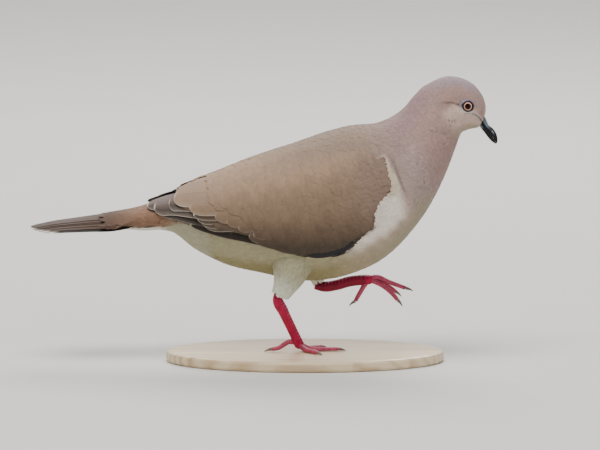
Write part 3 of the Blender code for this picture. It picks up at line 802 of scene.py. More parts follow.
def coloured(tree, shader, value, height, strength, depth, invert=False):
    """Gives the shader the mesh's own colours times value, and a relief of the height that is
    depth millimetres deep."""
    tint = node(tree, "ShaderNodeAttribute", attribute_name="tint").outputs["Color"]
    shaded = node(tree, "ShaderNodeVectorMath", {0: tint, "Scale": value}, operation="SCALE").outputs[0]
    levels = {"Height": height, "Strength": strength, "Distance": depth * MM}
    relief = node(tree, "ShaderNodeBump", levels, invert=invert).outputs[0]
    tree.links.new(shaded, shader.inputs["Base Color"])
    tree.links.new(relief, shader.inputs["Normal"])


def feather_material(name, roughness, sheen, barb_mm, streak, bump):
    """Feather: keratin barbs that hook into a matte web. A soft sheen gives the powdery bloom of
    a dove's plumage, and slanting lines give the barbs. Real barbs lie 0.15 mm apart. They are
    drawn coarser, at barb_mm, so that they show. A mottle of about 1.4 mm breaks up the web."""
    made, tree, shader = shader_of(name, {
        "Roughness": roughness,
        "Specular IOR Level": 0.2,
        "Sheen Weight": sheen,
        "Sheen Roughness": 0.5,
        "Sheen Tint": (0.9, 0.86, 0.84, 1),
    })
    vane = node(tree, "ShaderNodeAttribute", attribute_name="vane").outputs["Vector"]
    axes = node(tree, "ShaderNodeSeparateXYZ", {0: vane}).outputs
    aside = node(tree, "ShaderNodeMath", {0: axes["X"]}, operation="ABSOLUTE").outputs[0]
    slanted = {0: aside, 1: -1.1, 2: axes["Y"]}
    slant = node(tree, "ShaderNodeMath", slanted, operation="MULTIPLY_ADD").outputs[0]
    spaced = {0: slant, 1: 2 * math.pi / barb_mm}
    phase = node(tree, "ShaderNodeMath", spaced, operation="MULTIPLY").outputs[0]
    wave = node(tree, "ShaderNodeMath", {0: phase}, operation="SINE").outputs[0]
    place = node(tree, "ShaderNodeTexCoord").outputs["Object"]
    mottle = node(tree, "ShaderNodeTexNoise", {"Vector": place, "Scale": 700.0, "Detail": 4.0}).outputs["Fac"]
    patchy = {0: mottle, 1: 0.3, 2: 0.7, 3: 1 - streak, 4: 1 + streak}
    uneven = node(tree, "ShaderNodeMapRange", patchy).outputs[0]
    lines = {0: wave, 1: -1.0, 2: 1.0, 3: 1 - streak * 0.8, 4: 1.0}
    barbs = node(tree, "ShaderNodeMapRange", lines).outputs[0]
    value = node(tree, "ShaderNodeMath", {0: uneven, 1: barbs}, operation="MULTIPLY").outputs[0]
    coloured(tree, shader, value, wave, bump, 0.1)
    return made


def skin_material():
    """Skin under the coat: dark and matte, so that gaps between feathers read as shadow, with
    pores drawn about 1.1 mm apart."""
    made, tree, shader = shader_of("dove_skin", {"Roughness": 0.85})
    place = node(tree, "ShaderNodeTexCoord").outputs["Object"]
    pores = node(tree, "ShaderNodeTexNoise", {"Vector": place, "Scale": 900.0, "Detail": 3.0}).outputs["Fac"]
    value = node(tree, "ShaderNodeMapRange", {0: pores, 3: 0.75, 4: 1.15}).outputs[0]
    coloured(tree, shader, value, pores, 0.3, 0.2)
    return made


def bare_skin_material():
    """Bare skin round the eye: satin, and finely wrinkled into cells of about 0.3 mm."""
    made, tree, shader = shader_of("bare_eye_skin", {"Roughness": 0.45})
    place = node(tree, "ShaderNodeTexCoord").outputs["Object"]
    folds = {"Vector": place, "Scale": 3200.0}
    cells = node(tree, "ShaderNodeTexVoronoi", folds, feature="SMOOTH_F1").outputs["Distance"]
    value = node(tree, "ShaderNodeMapRange", {0: cells, 1: 0.1, 2: 0.8, 3: 1.1, 4: 0.8}).outputs[0]
    coloured(tree, shader, value, cells, 0.25, 0.2, invert=True)
    return made


def leg_material():
    """Leg skin: small horny scales, crimson with a waxy gloss, paler where a scale stands out
    and darker in the furrows between scales. Scales on the sides are about 0.9 mm."""
    made, tree, shader = shader_of("scaled_leg_skin", {
        "Roughness": 0.42,
        "Specular IOR Level": 0.3,
        "Subsurface Weight": 0.08,
        "Subsurface Scale": 0.001,
    })
    place = node(tree, "ShaderNodeTexCoord").outputs["Object"]
    scales = {"Vector": place, "Scale": 1100.0}
    edge = node(tree, "ShaderNodeTexVoronoi", scales, feature="DISTANCE_TO_EDGE").outputs["Distance"]
    edges = {0: edge, 1: 0.0, 2: 0.16, 3: 0.55, 4: 1.0}
    furrow = node(tree, "ShaderNodeMapRange", edges).outputs[0]
    blush = node(tree, "ShaderNodeTexNoise", {"Vector": place, "Scale": 260.0, "Detail": 3.0}).outputs["Fac"]
    uneven = node(tree, "ShaderNodeMapRange", {0: blush, 1: 0.3, 2: 0.7, 3: 0.8, 4: 1.2}).outputs[0]
    value = node(tree, "ShaderNodeMath", {0: furrow, 1: uneven}, operation="MULTIPLY").outputs[0]
    coloured(tree, shader, value, furrow, 0.5, 0.25)
    return made


def horn_material(name, roughness):
    """Horn of the bill and claws: smooth keratin with a soft gloss and a cloudy bloom, whose
    patches are about 2.4 mm."""
    made, tree, shader = shader_of(name, {"Roughness": roughness, "Specular IOR Level": 0.25})
    place = node(tree, "ShaderNodeTexCoord").outputs["Object"]
    bloom = node(tree, "ShaderNodeTexNoise", {"Vector": place, "Scale": 420.0, "Detail": 5.0}).outputs["Fac"]
    value = node(tree, "ShaderNodeMapRange", {0: bloom, 1: 0.3, 2: 0.7, 3: 0.75, 4: 1.3}).outputs[0]
    coloured(tree, shader, value, bloom, 0.15, 0.2)
    return made


def eye_material(colours):
    """Eye: wet and glossy. Rings from the middle out are the pupil, a salmon-orange iris with
    fine spokes, and its dark rim. They read the vane layer, which holds the cosine and sine of
    the turn and the distance from the middle, and the ramp spans 4 mm."""
    made, tree, shader = shader_of("wet_eye", {
        "Roughness": 0.2,
        "Specular IOR Level": 0.08,
        "Coat Weight": 0.12,
        "Coat Roughness": 0.02,
    })
    vane = node(tree, "ShaderNodeAttribute", attribute_name="vane").outputs["Vector"]
    axes = node(tree, "ShaderNodeSeparateXYZ", {0: vane}).outputs
    turned = node(tree, "ShaderNodeCombineXYZ", {0: axes["X"], 1: axes["Y"]}).outputs[0]
    spokes = node(tree, "ShaderNodeTexNoise", {"Vector": turned, "Scale": 5.0, "Detail": 4.0}).outputs["Fac"]
    wavy = {0: spokes, 1: 0.2, 2: axes["Z"]}
    wobble = node(tree, "ShaderNodeMath", wavy, operation="MULTIPLY_ADD").outputs[0]
    share = node(tree, "ShaderNodeMath", {0: wobble, 1: 4.0}, operation="DIVIDE").outputs[0]
    pupil, iris, inner = tuple(colours.pupil), tuple(colours.iris), tuple(colours.iris_inner)
    rings = (0.0, pupil), (0.41, pupil), (0.44, inner), (0.48, iris), (0.56, iris), (0.60, tuple(colours.lid))
    shown = stops(node(tree, "ShaderNodeValToRGB", {0: share}), *rings)
    tree.links.new(shown, shader.inputs["Base Color"])
    return made


def wood_material(colours):
    """Base: pale maple board, sanded and given a satin varnish. Growth rings lie about 6 mm
    apart and pores are about 0.5 mm across, drawn out along the grain."""
    made, tree, shader = shader_of("varnished_maple", {
        "Roughness": 0.4,
        "Coat Weight": 0.3,
        "Coat Roughness": 0.25,
    })
    place = node(tree, "ShaderNodeTexCoord").outputs["Object"]
    along = node(tree, "ShaderNodeMapping", {"Vector": place, "Scale": (0.12, 1.0, 1.0)}).outputs[0]
    warp = node(tree, "ShaderNodeTexNoise", {"Vector": along, "Scale": 60.0, "Detail": 3.0}).outputs["Fac"]
    growth = {"Vector": along, "Scale": 55.0, "Distortion": 7.0, "Detail": 2.0, "Detail Scale": 1.5}
    rings = node(tree, "ShaderNodeTexWave", growth, bands_direction="Y").outputs["Fac"]
    pores = node(tree, "ShaderNodeTexNoise", {"Vector": along, "Scale": 2200.0, "Detail": 2.0}).outputs["Fac"]
    grain = node(tree, "ShaderNodeMath", {0: rings, 1: 0.45, 2: warp}, operation="MULTIPLY_ADD").outputs[0]
    fine = node(tree, "ShaderNodeMath", {0: pores, 1: 0.35, 2: grain}, operation="MULTIPLY_ADD").outputs[0]
    ramp = node(tree, "ShaderNodeValToRGB", {0: fine})
    shown = stops(ramp, (0.45, tuple(colours.wood_dark)), (1.0, tuple(colours.wood)))
    levels = {"Height": pores, "Strength": 0.15, "Distance": 0.2 * MM}
    relief = node(tree, "ShaderNodeBump", levels).outputs[0]
    tree.links.new(shown, shader.inputs["Base Color"])
    tree.links.new(relief, shader.inputs["Normal"])
    return made


def floor_material(colours):
    """Studio paper: pale, matte, with the faintest mottle."""
    made, tree, shader = shader_of("studio_paper", {"Roughness": 0.9})
    place = node(tree, "ShaderNodeTexCoord").outputs["Object"]
    fibre = node(tree, "ShaderNodeTexNoise", {"Vector": place, "Scale": 12.0, "Detail": 2.0}).outputs["Fac"]
    paper = np.array(colours.paper)
    ramp = node(tree, "ShaderNodeValToRGB", {0: fibre})
    shown = stops(ramp, (0.3, tuple(0.985 * paper)), (0.7, tuple(paper)))
    tree.links.new(shown, shader.inputs["Base Color"])
    return made


# ---------------------------------------------------------------- settings


def dye(name, description, code):
    """A colour that a user may change, from an sRGB hex value."""
    return FloatVectorProperty(
        name=name, description=description, subtype="COLOR", size=3, min=0, max=1, default=linear(code)
    )


def measure(name, description, millimetres):
    """A size that a user may change."""
    return FloatProperty(name=name, description=description, unit="LENGTH", min=0, default=millimetres * MM)


class DoveColours(bpy.types.PropertyGroup):
    """The dove's colours."""

    mantle: dye("Mantle", "Upper back", "897566")
    rump: dye("Rump", "Lower back", "9b8066")
    rufous: dye("Tail coverts", "Feathers over the tail's root", "836450")
    # The belly's own buff, darkened somewhat as painted shade.
    belly: dye("Belly", "Belly and flanks", "a29c7e")
    # Painted shade, with a greenish painted reflection, over the belly between the legs.
    belly_painted_shade: dye("Middle of the belly", "Belly between the legs", "89845d")
    # The vent's own pale colour, darkened as painted shade with a greenish painted reflection.
    vent: dye("Vent", "Feathers under the tail's root", "a4a188")
    breast: dye("Breast", "Breast", "bda698")
    breast_side: dye("Side of the breast", "Pale feathers that lap over the wing's front", "ebe0d4")
    breast_streak: dye("Streak over the wing's front", "Cream feathers up to the shoulder", "cbbaa4")
    # Painted shade: dark lines in the neck's plumage.
    neck_painted_shade: dye("Gaps between feathers", "Dark lines in the neck's plumage", "7c6c68")
    under_eye: dye("Under the eye", "Palest part of the cheek", "e2d8ce")
    # Painted shade where the breast turns under towards the belly.
    breast_painted_shade: dye("Below the breast", "Between breast and belly", "988d76")
    upper_breast: dye("Upper breast", "Between breast and neck", "a5908d")
    nape: dye("Nape", "Back of the neck", "997e7d")
    neck: dye("Neck", "Sides and front of the neck", "a1847d")
    throat: dye("Throat", "Chin and throat", "a49381")
    cheek: dye("Cheek", "Below and behind the eye", "c6ab9f")
    crown: dye("Crown", "Top of the head", "98868a")
    temple: dye("Temple", "Above and behind the eye", "9d8079")
    brow: dye("Brow", "Front edge of the forehead", "cbb9a6")
    forehead: dye("Forehead", "Above the bill", "aa8e85")
    eye_line: dye("Line behind the eye", "Thin dark line", "68514c")
    lores: dye("Lores", "Dark line from eye to bill", "1f1a18")
    scapulars: dye("Scapulars", "Upper part of the folded wing", "9e836b")
    wing_middle: dye("Wing's middle", "Warm brown of the wing coverts", "7f6955")
    wing_front: dye("Wing's front", "Shoulder of the wing", "7f6a5d")
    wing_low: dye("Lower wing", "Darker coverts along the lower edge", "625041")
    wing_edge: dye("Wing's lower edge", "Darkest of the coverts", "483e34")
    thigh: dye("Thighs", "Feathered part of the legs", "d5d7c4")
    tertials: dye("Tertials", "Large feathers at the folded wing's end", "927a66")
    secondaries: dye("Secondaries", "Flight feathers below the tertials", "5a4839")
    primaries: dye("Primaries", "Tips of the long flight feathers", "6a5b56")
    # The flight feathers' dark vanes, and painted shade: their shaded outer side and root, and the strip of
    # painted shadow under the wing.
    dark_web_and_shadow: dye("Dark vanes", "Hidden and inner vanes of the flight feathers", "281f1a")
    slate: dye("Slate", "Alula and primary coverts", "26262b")
    fringe: dye("Fringe", "Pale edges of the flight feathers", "d6cab9")
    tail_top: dye("Tail", "Middle tail feathers", "574439")
    tail_dark: dye("Tail's sides", "Outer tail feathers", "221d1a")
    tail_tip: dye("Tail's tips", "White tips of the outer tail feathers", "d9d2c2")
    leg: dye("Legs", "Leg skin", "b60046")
    # Painted highlights on the legs' front plates, and the toes' own pink.
    leg_pale: dye("Scale edges", "Front scales of the legs", "e6a4b8")
    bill: dye("Bill", "Horn of the bill", "08090c")
    bill_base: dye("Bill's base", "Softer skin at the bill's root", "66717b")
    # A painted highlight on the upper half of the bill.
    painted_bill_glint: dye("Nail", "Glint on the bill's tip", "9aa3b6")
    claw: dye("Claws", "Horn of the claws", "7a6a66")
    lid: dye("Eyelid", "Edge of the eyelids", "210c0c")
    orbital: dye("Round the eye", "Bare skin round the eye", "767080")
    iris: dye("Iris", "Outer part of the iris", "d2a48f")
    iris_inner: dye("Iris, inside", "Part of the iris next to the pupil", "8e4c38")
    pupil: dye("Pupil", "Pupil", "150302")
    wood: dye("Wood", "Light wood of the base", "d9c4a3")
    wood_dark: dye("Dark grain", "Dark grain of the base", "b3936c")
    paper: dye("Floor", "Studio floor", "cfcdc9")


class DoveSizes(bpy.types.PropertyGroup):
    """The coat's sizes."""

    face: measure("On the face", "Distance between feathers at the bill", 0.75)
    head: measure("On the head", "Distance between feathers on the crown", 0.95)
    neck: measure("On the neck", "Distance between feathers halfway down the neck", 1.35)
    breast: measure("On the breast", "Distance between feathers on the breast", 1.8)
    belly: measure("On the belly", "Distance between feathers on the belly", 2.1)
    back: measure("On the back", "Distance between feathers on the back", 2.6)
    thigh: measure("On the thighs", "Distance between feathers on the thighs", 1.5)
    wing_front: measure("At the wing's front", "Distance between feathers at the shoulder", 2.1)
    wing_hind: measure("At the wing's hind end", "Distance between feathers at the tertials", 3.8)
    head_depth: measure("Depth on the head", "How far the skin lies under the coat on the head", 0.45)
    body_depth: measure("Depth on the body", "How far the skin lies under the coat on the body", 1.0)


# ---------------------------------------------------------------- pieces

SKIN_SHADE = 0.8  # how light the skin is beside the feathers over it
THIGH_DEPTH = 0.8  # how far the skin lies under the coat on the thighs
WING_DEPTH = 0.9  # how far a wing covert's root lies under the wing's outer face


def coat_depth(sizes, rib):
    """How far the skin lies under the coat's outer face, along the ribs from tail to bill."""
    thin, deep = sizes.head_depth, sizes.body_depth
    depths = (0.5 * deep, 0.8 * deep, deep, deep, 1.3 * thin, thin, 0.7 * thin)
    return np.interp(rib, (-2, 0, 1.5, 8, 11.5, 13, 17), depths)


def thigh_chart(side, sign):
    """The thigh as a chart: 1 at its top and 0 at the ankle, and the turn round it."""
    rows = THIGHS[side]
    path = [(x, sign * y, z) for (x, y, z), _, _ in rows]
    radii = [(across, along) for _, along, across in rows]

    def chart(share, turn, lift=0.0):
        """A place on the thigh, moved out by lift."""
        return limb_surface(path, radii, (0, 1, 0), 1 - np.asarray(share, float), turn, lift)

    return chart


def thigh_bake(sign):
    """Thighs lie in a strip of the bake map that the body leaves free."""
    start = 0.25 + 0.25 * sign
    return lambda share, turn: np.stack([start + 0.4 * share, 0.04 + 0.03 * np.sin(turn)], axis=-1)


class DOVE_OT_skin(bpy.types.Operator):
    """One skin from the tail to the bill, with the wings as low mounds and the thighs joined"""

    bl_idname = "dove.skin"
    bl_label = "Skin"

    def execute(self, context):
        colours, sizes = context.scene.dove_colours, context.scene.dove_sizes
        rib = np.linspace(-0.15, LAST_RIB, 250)[:, None]
        angle = np.linspace(-math.pi, math.pi, 144, endpoint=False)[None, :]
        # The skin's hind end, which the tail's root covers, is sunk deeper.
        sink = coat_depth(sizes, rib) + 3 * MM * step_up(0.1 - rib, 0.25)
        points, faces = tube(coat_surface(rib, angle, -sink))
        rib, angle = np.broadcast_arrays(rib, angle)
        covered = step_up(in_wing(rib, np.abs(np.degrees(angle))) + 2, 3.0)[..., None]
        shade = marked(BODY_MARKINGS, colours, rib, angle)
        shade = SKIN_SHADE * (shade + (marked(WING_MARKINGS, colours, rib, angle) - shade) * covered)
        skin = outward(new_piece("skin", points, faces, skin_material(), with_ends(shade)))
        for side, sign in SIDES:
            share = np.linspace(1.0, 0.06, 30)[:, None]
            points, faces = tube(thigh_chart(side, sign)(share, turns(40), -THIGH_DEPTH * MM))
            tint = np.tile(SKIN_SHADE * np.array(colours.thigh), (len(points), 1))
            cone = outward(new_piece("cone", points, faces, skin.data.materials[0], tint))
            join = skin.modifiers.new("Join", "BOOLEAN")
            join.operation, join.solver, join.object = "UNION", "EXACT", cone
            graph = context.evaluated_depsgraph_get()
            whole = bpy.data.meshes.new_from_object(skin.evaluated_get(graph))
            skin.modifiers.clear()
            skin.data = whole
            bpy.data.objects.remove(cone)
        if "tint" not in skin.data.attributes:
            raise RuntimeError("the skin lost its colours")
        skin.data.shade_smooth()
        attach(skin, "root")
        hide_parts("trunk", "neck", "head", "thigh_left", "thigh_right", "wing_left", "wing_right")
        return {"FINISHED"}


def eye_bare(rib, angle):
    """How far a place on the head's side lies outside the bare skin round the eye, in
    millimetres. Its outline is an oval that is longer behind the eye."""
    place = body_surface(rib, angle) / MM
    ahead, up = place[:, 0] - EYE_CENTRE[0], place[:, 2] - EYE_CENTRE[2]
    return np.hypot(ahead, up) - bare_radius(np.arctan2(up, ahead))


def bare_radius(turn):
    """The bare skin's radius at a turn from straight ahead, upwards: 3.9 mm in front and 4.9
    behind, with cosines between."""
    return 4.15 - 0.5 * np.cos(turn) + 0.25 * np.cos(2 * turn) + 0.2 * np.sin(turn)


class DOVE_OT_body_feathers(bpy.types.Operator):
    """Feathers of the head, neck, breast, belly and back"""

    bl_idname = "dove.body_feathers"
    bl_label = "Body feathers"

    def execute(self, context):
        colours, sizes = context.scene.dove_colours, context.scene.dove_sizes
        finish = feather_material(
            "body_feathers", roughness=0.75, sheen=0.1, barb_mm=0.5, streak=0.07, bump=0.15)

        def colour(rib, angle):
            """The body's markings."""
            return marked(BODY_MARKINGS, colours, rib, angle)

        back, belly, breast, head = sizes.back, sizes.belly, sizes.breast, sizes.head

        def below(rib):
            """The distance between feathers on the belly and breast."""
            return np.interp(rib, (0, 3, 6, 7.5, 8.5, 10),
                             (back, 1.1 * belly, belly, breast, 0.9 * breast, sizes.neck))

        def above(rib):
            """The distance between feathers on the back, neck and head."""
            return np.interp(rib, (-2, 0, 6, 8, 10, 12, 13.5, 15, 17),
                             (1.2 * back, back, back, 0.8 * back, sizes.neck,
                              1.1 * head, head, 0.9 * head, sizes.face))

        random = np.random.default_rng(11)
        usual = dict(uneven=0.03, wide=0.85, camber=0.02)
        whole = (-180, 180)
        regions = (
            # name, ribs from and to, degrees from and to, spacing, outline, settings
            ("coat_tail_root", -0.75, 1.2, whole, above, POINTED, dict(rise=-0.04, long=3.6, uneven=0.06)),
            ("coat_back", 1.2, 9.0, (-72, 72), above, ROUND, dict(rise=0.06)),
            ("coat_belly", 1.2, 6.2, (72, 288), below, RAGGED, dict(rise=0.12, loose=0.1, long=3.2)),
            ("coat_breast", 6.2, 9.0, (72, 288), below, ROUND, dict(rise=0.1, long=2.9)),
            ("coat_neck", 9.0, 12.0, whole, above, ROUND, dict(rise=0.08, fringe=-0.12, uneven=0.055)),
            ("coat_head", 12.0, 16.95, whole, above, ROUND, dict(rise=0.08, fringe=-0.05, uneven=0.045)),
        )
        for name, rib_from, rib_to, ends, spacing, outline, settings in regions:
            ends = np.radians(ends)
            rib, angle = rows_across(spacing, rib_from, rib_to, lambda at: ends, body_surface)
            grown = self.grown(name, rib, angle, 3.0 * spacing(rib))
            rib, angle = rib[grown], angle[grown]
            size = spacing(rib)
            settings = {**usual, **settings, "rise": settings["rise"] * size}
            made = tufts(coat_surface, rib, angle, random, size, colour, outline,
                         depth=coat_depth(sizes, rib), **settings)
            piece = coat_piece(name, [made], outline, finish)
        self.breast_sides(sizes, colour, finish)
        return {"FINISHED"}

    def grown(self, name, rib, angle, reach):
        """Which places bear a feather. Each rule leaves out what something else covers."""
        turned = turned_down(angle)
        # The mantle lies over the wing's upper edge. Elsewhere the wing lies on the body.
        mantle = (turned < 60) & (rib > 4.5) & (rib < 7.7)
        grown = in_wing(rib, turned) < np.where(mantle, 5, -1)
        # From rib 1.3 to 4 the primaries lie on the flank behind the wing's lower edge, and a strip of
        # painted shadow lies below that edge.
        grown &= (rib > 4.0) | (rib < 1.3) | (turned < 30) | (turned > np.where(rib > 3.0, 104, 98))
        # The breast's side has its own rows, which end along its edge over the wing.
        edge = np.interp(turned, *np.array(BREAST_EDGE).T[::-1])
        ahead = np.interp(rib, RIB_NUMBERS, RIB_DISTANCE) - np.interp(edge, RIB_NUMBERS, RIB_DISTANCE)
        grown &= (turned < 60) | (turned > 130) | (ahead < -4 * MM) | (ahead > reach)
        if name == "coat_tail_root":
            # Below, the coverts end sooner than above.
            grown &= (turned < 118) | (rib > -0.45)
        if name == "coat_head":
            # Neither a feather's root nor its tip lies on the bare skin round the eye.
            grown &= np.minimum(eye_bare(rib, angle), eye_bare(rib - 0.17, angle)) > -0.5
        return grown

    def breast_sides(self, sizes, colour, finish):
        """Rows of feathers whose tips end along the breast's edge over each wing, and the rows in
        front of them. They point back and a little up, so their angle shrinks with the rib. The
        topmost, at the shoulder, are the smallest and lie the flattest."""
        line = smooth(np.linspace(0, 1, len(BREAST_EDGE)), BREAST_EDGE, np.linspace(0, 1, 400), steady=True)
        length = length_along(body_surface(line[:, 0], np.radians(line[:, 1])))
        random = np.random.default_rng(31)
        sets = []
        for _, sign in SIDES:
            for row in range(BREAST_ROWS):
                # The six hindmost rows, which make the edge, are the finest.
                size = sizes.breast * (0.5 if row < 6 else 0.85)
                spacing = 0.75 * size
                at = np.arange(0.5 * (row % 2), length[-1] / spacing) * spacing
                rib, degrees = np.interp(at, length, line[:, 0]), np.interp(at, length, line[:, 1])
                angle = sign * np.radians(degrees)
                low_down = step_up(degrees - 92, 12)
                lean = 0.3 * sign * low_down
                small = size * (0.62 + 0.38 * low_down)
                along, across = tangents(body_surface, rib, angle)
                forward = unit(along + across * lean[:, None])
                ahead, aside = steps_along(along, across, forward)
                scatter = random.uniform(-0.3, 0.3, len(at)) * small
                away = 4.3 * small + (row * 0.5 * MM + scatter) * (small / size)
                rib, angle = rib + ahead * away, angle + aside * away
                rise = (0.5 + 0.55 * low_down - 0.04 * row) * MM
                sets.append(tufts(body_surface, rib, angle, random, small, colour, POINTED,
                                  slope=lean, wide=0.75, long=4.2, depth=sizes.body_depth,
                                  rise=rise, camber=0.02, uneven=0.03, loose=0.12))
        piece = coat_piece("coat_breast_sides", sets, POINTED, finish)


class DOVE_OT_thigh_feathers(bpy.types.Operator):
    """Soft feathers down the thighs to the ankles"""

    bl_idname = "dove.thigh_feathers"
    bl_label = "Thigh feathers"

    def execute(self, context):
        colours, sizes = context.scene.dove_colours, context.scene.dove_sizes
        finish = feather_material(
            "thigh_feathers", roughness=0.8, sheen=0.1, barb_mm=0.5, streak=0.07, bump=0.15)
        random = np.random.default_rng(12)

        def colour(share, turn):
            """The belly's colour at the top, turning to the thigh's own a third of the way up."""
            return blend(colours.thigh, colours.belly, step_up(share - 0.34, 0.22))

        def spacing(share):
            """The distance between feathers, which grows from the ankle up."""
            return sizes.thigh * (0.7 + 0.6 * share)

        for side, sign in SIDES:
            chart = thigh_chart(side, sign)
            share, turn = rows_across(spacing, 0.13, 0.97, lambda at: (0, 2 * math.pi), chart)
            made = tufts(chart, share, turn, random, spacing(share), colour, RAGGED, depth=THIGH_DEPTH * MM,
                         long=3.2, wide=0.7, rise=0.3 * MM, loose=0.16, uneven=0.04, camber=0.05)
            piece = coat_piece(f"coat_thigh_{side}", [made], RAGGED, finish, thigh_bake(sign))
        return {"FINISHED"}


def wing_slope(rib, angle):
    """How much the angle changes with the rib along a line that keeps its share of the way
    from the wing's upper edge to its lower one."""
    upper, lower, _ = wing_edges(rib)
    share = np.clip((np.abs(np.degrees(angle)) - upper) / (lower - upper), 0, 1)
    steady = np.clip(rib, 2.3, 7.2)
    return np.sign(angle) * (wing_angle(steady + 0.1, share) - wing_angle(steady - 0.1, share)) / 0.2


class DOVE_OT_wing_coverts(bpy.types.Operator):
    """Small feathers of the folded wings, from the shoulder to the tertials"""

    bl_idname = "dove.wing_coverts"
    bl_label = "Wing coverts"

    def execute(self, context):
        colours, sizes = context.scene.dove_colours, context.scene.dove_sizes
        finish = feather_material(
            "wing_coverts", roughness=0.7, sheen=0.1, barb_mm=0.6, streak=0.05, bump=0.15)

        def colour(rib, angle):
            """The wing's markings."""
            return marked(WING_MARKINGS, colours, rib, angle)

        def spacing(rib):
            """The distance between feathers, which shrinks from the tertials to the shoulder."""
            hind, front = sizes.wing_hind, sizes.wing_front
            return np.interp(rib, (3.5, 6.0, 7.8), (hind, 0.5 * (hind + front), front))

        for side, sign in SIDES:
            random = np.random.default_rng(20 + sign)

            def ends(rib):
                """A row's first and last angle. The slate feathers show below the coverts, and
                the breast covers the wing's front."""
                hind = np.interp(rib, (3.3, 4.9, 5.7, 6.1, 6.5), (0.66, 0.95, 0.96, 1.0, 1.06))
                return sign * wing_angle(np.array(rib), 0.0), sign * wing_angle(np.array(rib), hind)

            rib, angle = rows_across(spacing, 3.3, 8.15, ends, wing_surface)
            size = spacing(rib)
            made = tufts(wing_surface, rib, angle, random, size, colour, ROUND, slope=wing_slope(rib, angle),
                         depth=WING_DEPTH * MM, long=2.9, wide=0.85, rise=0.03 * size, camber=0.012,
                         loose=0.05, uneven=0.035, fringe=-0.06)
            piece = coat_piece(f"coat_wing_{side}", [made], ROUND, finish)
        return {"FINISHED"}


def feather_tint(colour, fringe, dark, edge=0.0, darker=0.0, inner=0.0, tip=0.0, tip_colour=None):
    """The colours over a long feather, from a function of places: its own, drawn to dark over
    the outer side and the root by darker and over the inner side by inner, and to the fringe
    along the outer rim and the tip by edge. The darker outer side and root are partly the
    feathers' own dark webs and partly painted shade beside the feathers over them. Over the
    last tip share it has the tip colour."""

    def at(across, along, rib, angle):
        """The colour at shares across and along the feather, at a place of its chart."""
        outer = -across * np.sign(angle)
        shade = np.maximum(step_up(outer - 0.2, 0.4), step_up(0.62 - along, 0.2)) * darker
        shade = np.maximum(shade, step_up(-outer - 0.3, 0.2) * inner)
        shaft = (np.abs(across) < 0.05)[..., None] * 0.15
        shown = blend(colour(rib, angle), dark, shade) * (1 - shaft)
        if tip_colour is not None:
            shown = blend(shown, tip_colour, step_up(along - (1 - tip), 0.03))
        rim = np.maximum(step_up(outer - 0.95, 0.02), step_up(along - 0.985, 0.01)) * edge
        return blend(shown, fringe, rim)

    return at


def plain(colour):
    """One colour at every place."""
    return lambda rib, angle: np.array(colour[:]) + 0 * rib[..., None]


# Long feathers of the folded wing: root, middle and tip as (rib, degrees), half width, and the
# height of root and tip over the body, both in millimetres. Those named later lie on top.
PRIMARY_FEATHERS = (
    # The first dark one is a thin strip along the wing's lower edge, on the flank: painted shadow under the
    # wing.
    ("dark", (4.3, 113), (3.25, 102.3), (2.0, 91.5), 1.8, 0.5, 0.9),
    ("dark", (3.5, 96), (2.3, 80), (0.98, 72), 4.2, 0.5, 0.7),
    ("dark", (3.4, 92), (2.1, 75), (0.72, 62), 4.6, 0.9, 1.1),
    ("primary", (3.4, 66), (1.8, 43), (0.36, 30), 7.4, 0.6, 1.3),
    ("primary", (3.4, 76), (1.9, 57), (0.62, 51), 6.4, 0.9, 1.9),
    ("primary", (3.4, 70), (2.2, 52), (1.22, 48), 6.0, 1.2, 2.5),
)
# The same with heights over the wing's outer face.
WING_FEATHERS = (
    ("edge", (6.7, 116), (5.6, 120), (4.3, 112), 3.6, -1.0, -0.6),
    ("edge", (6.3, 113), (5.2, 115), (3.9, 105), 4.2, -1.0, -0.5),
    ("slate", (6.4, 118), (5.88, 125.4), (5.15, 123.2), 1.8, -0.2, 0.1),
    ("secondary", (4.8, 95), (3.8, 89.5), (2.56, 89), 3.8, -1.9, -1.5),
    ("secondary", (4.7, 90), (3.6, 86), (2.45, 83.5), 4.0, -1.7, -1.2),
    ("secondary", (4.6, 84), (3.5, 80), (2.32, 78.5), 4.0, -1.5, -0.9),
    ("secondary", (4.5, 78), (3.5, 75), (2.20, 73), 4.0, -1.3, -0.6),
    ("covert", (5.4, 112), (4.6, 108), (3.80, 101), 4.2, -0.9, -0.4),
    ("covert", (5.8, 86), (4.9, 93), (3.92, 101), 4.6, -0.9, -0.2),
    ("covert", (5.6, 74), (4.5, 83), (3.55, 93), 4.8, -0.9, -0.2),
    ("covert", (5.0, 88), (4.1, 86), (3.25, 83), 4.6, -0.9, -0.4),
    ("covert", (4.8, 86), (3.9, 81), (2.95, 76), 4.6, -0.9, -0.4),
    ("tertial", (4.9, 66), (3.4, 66), (2.10, 62), 5.4, -0.9, -0.4),
    ("tertial", (4.1, 21), (3.0, 20), (1.75, 17), 6.5, -0.8, -0.3),
    ("tertial", (4.8, 46), (3.2, 46), (1.50, 37), 9.6, -0.8, -0.2),
)


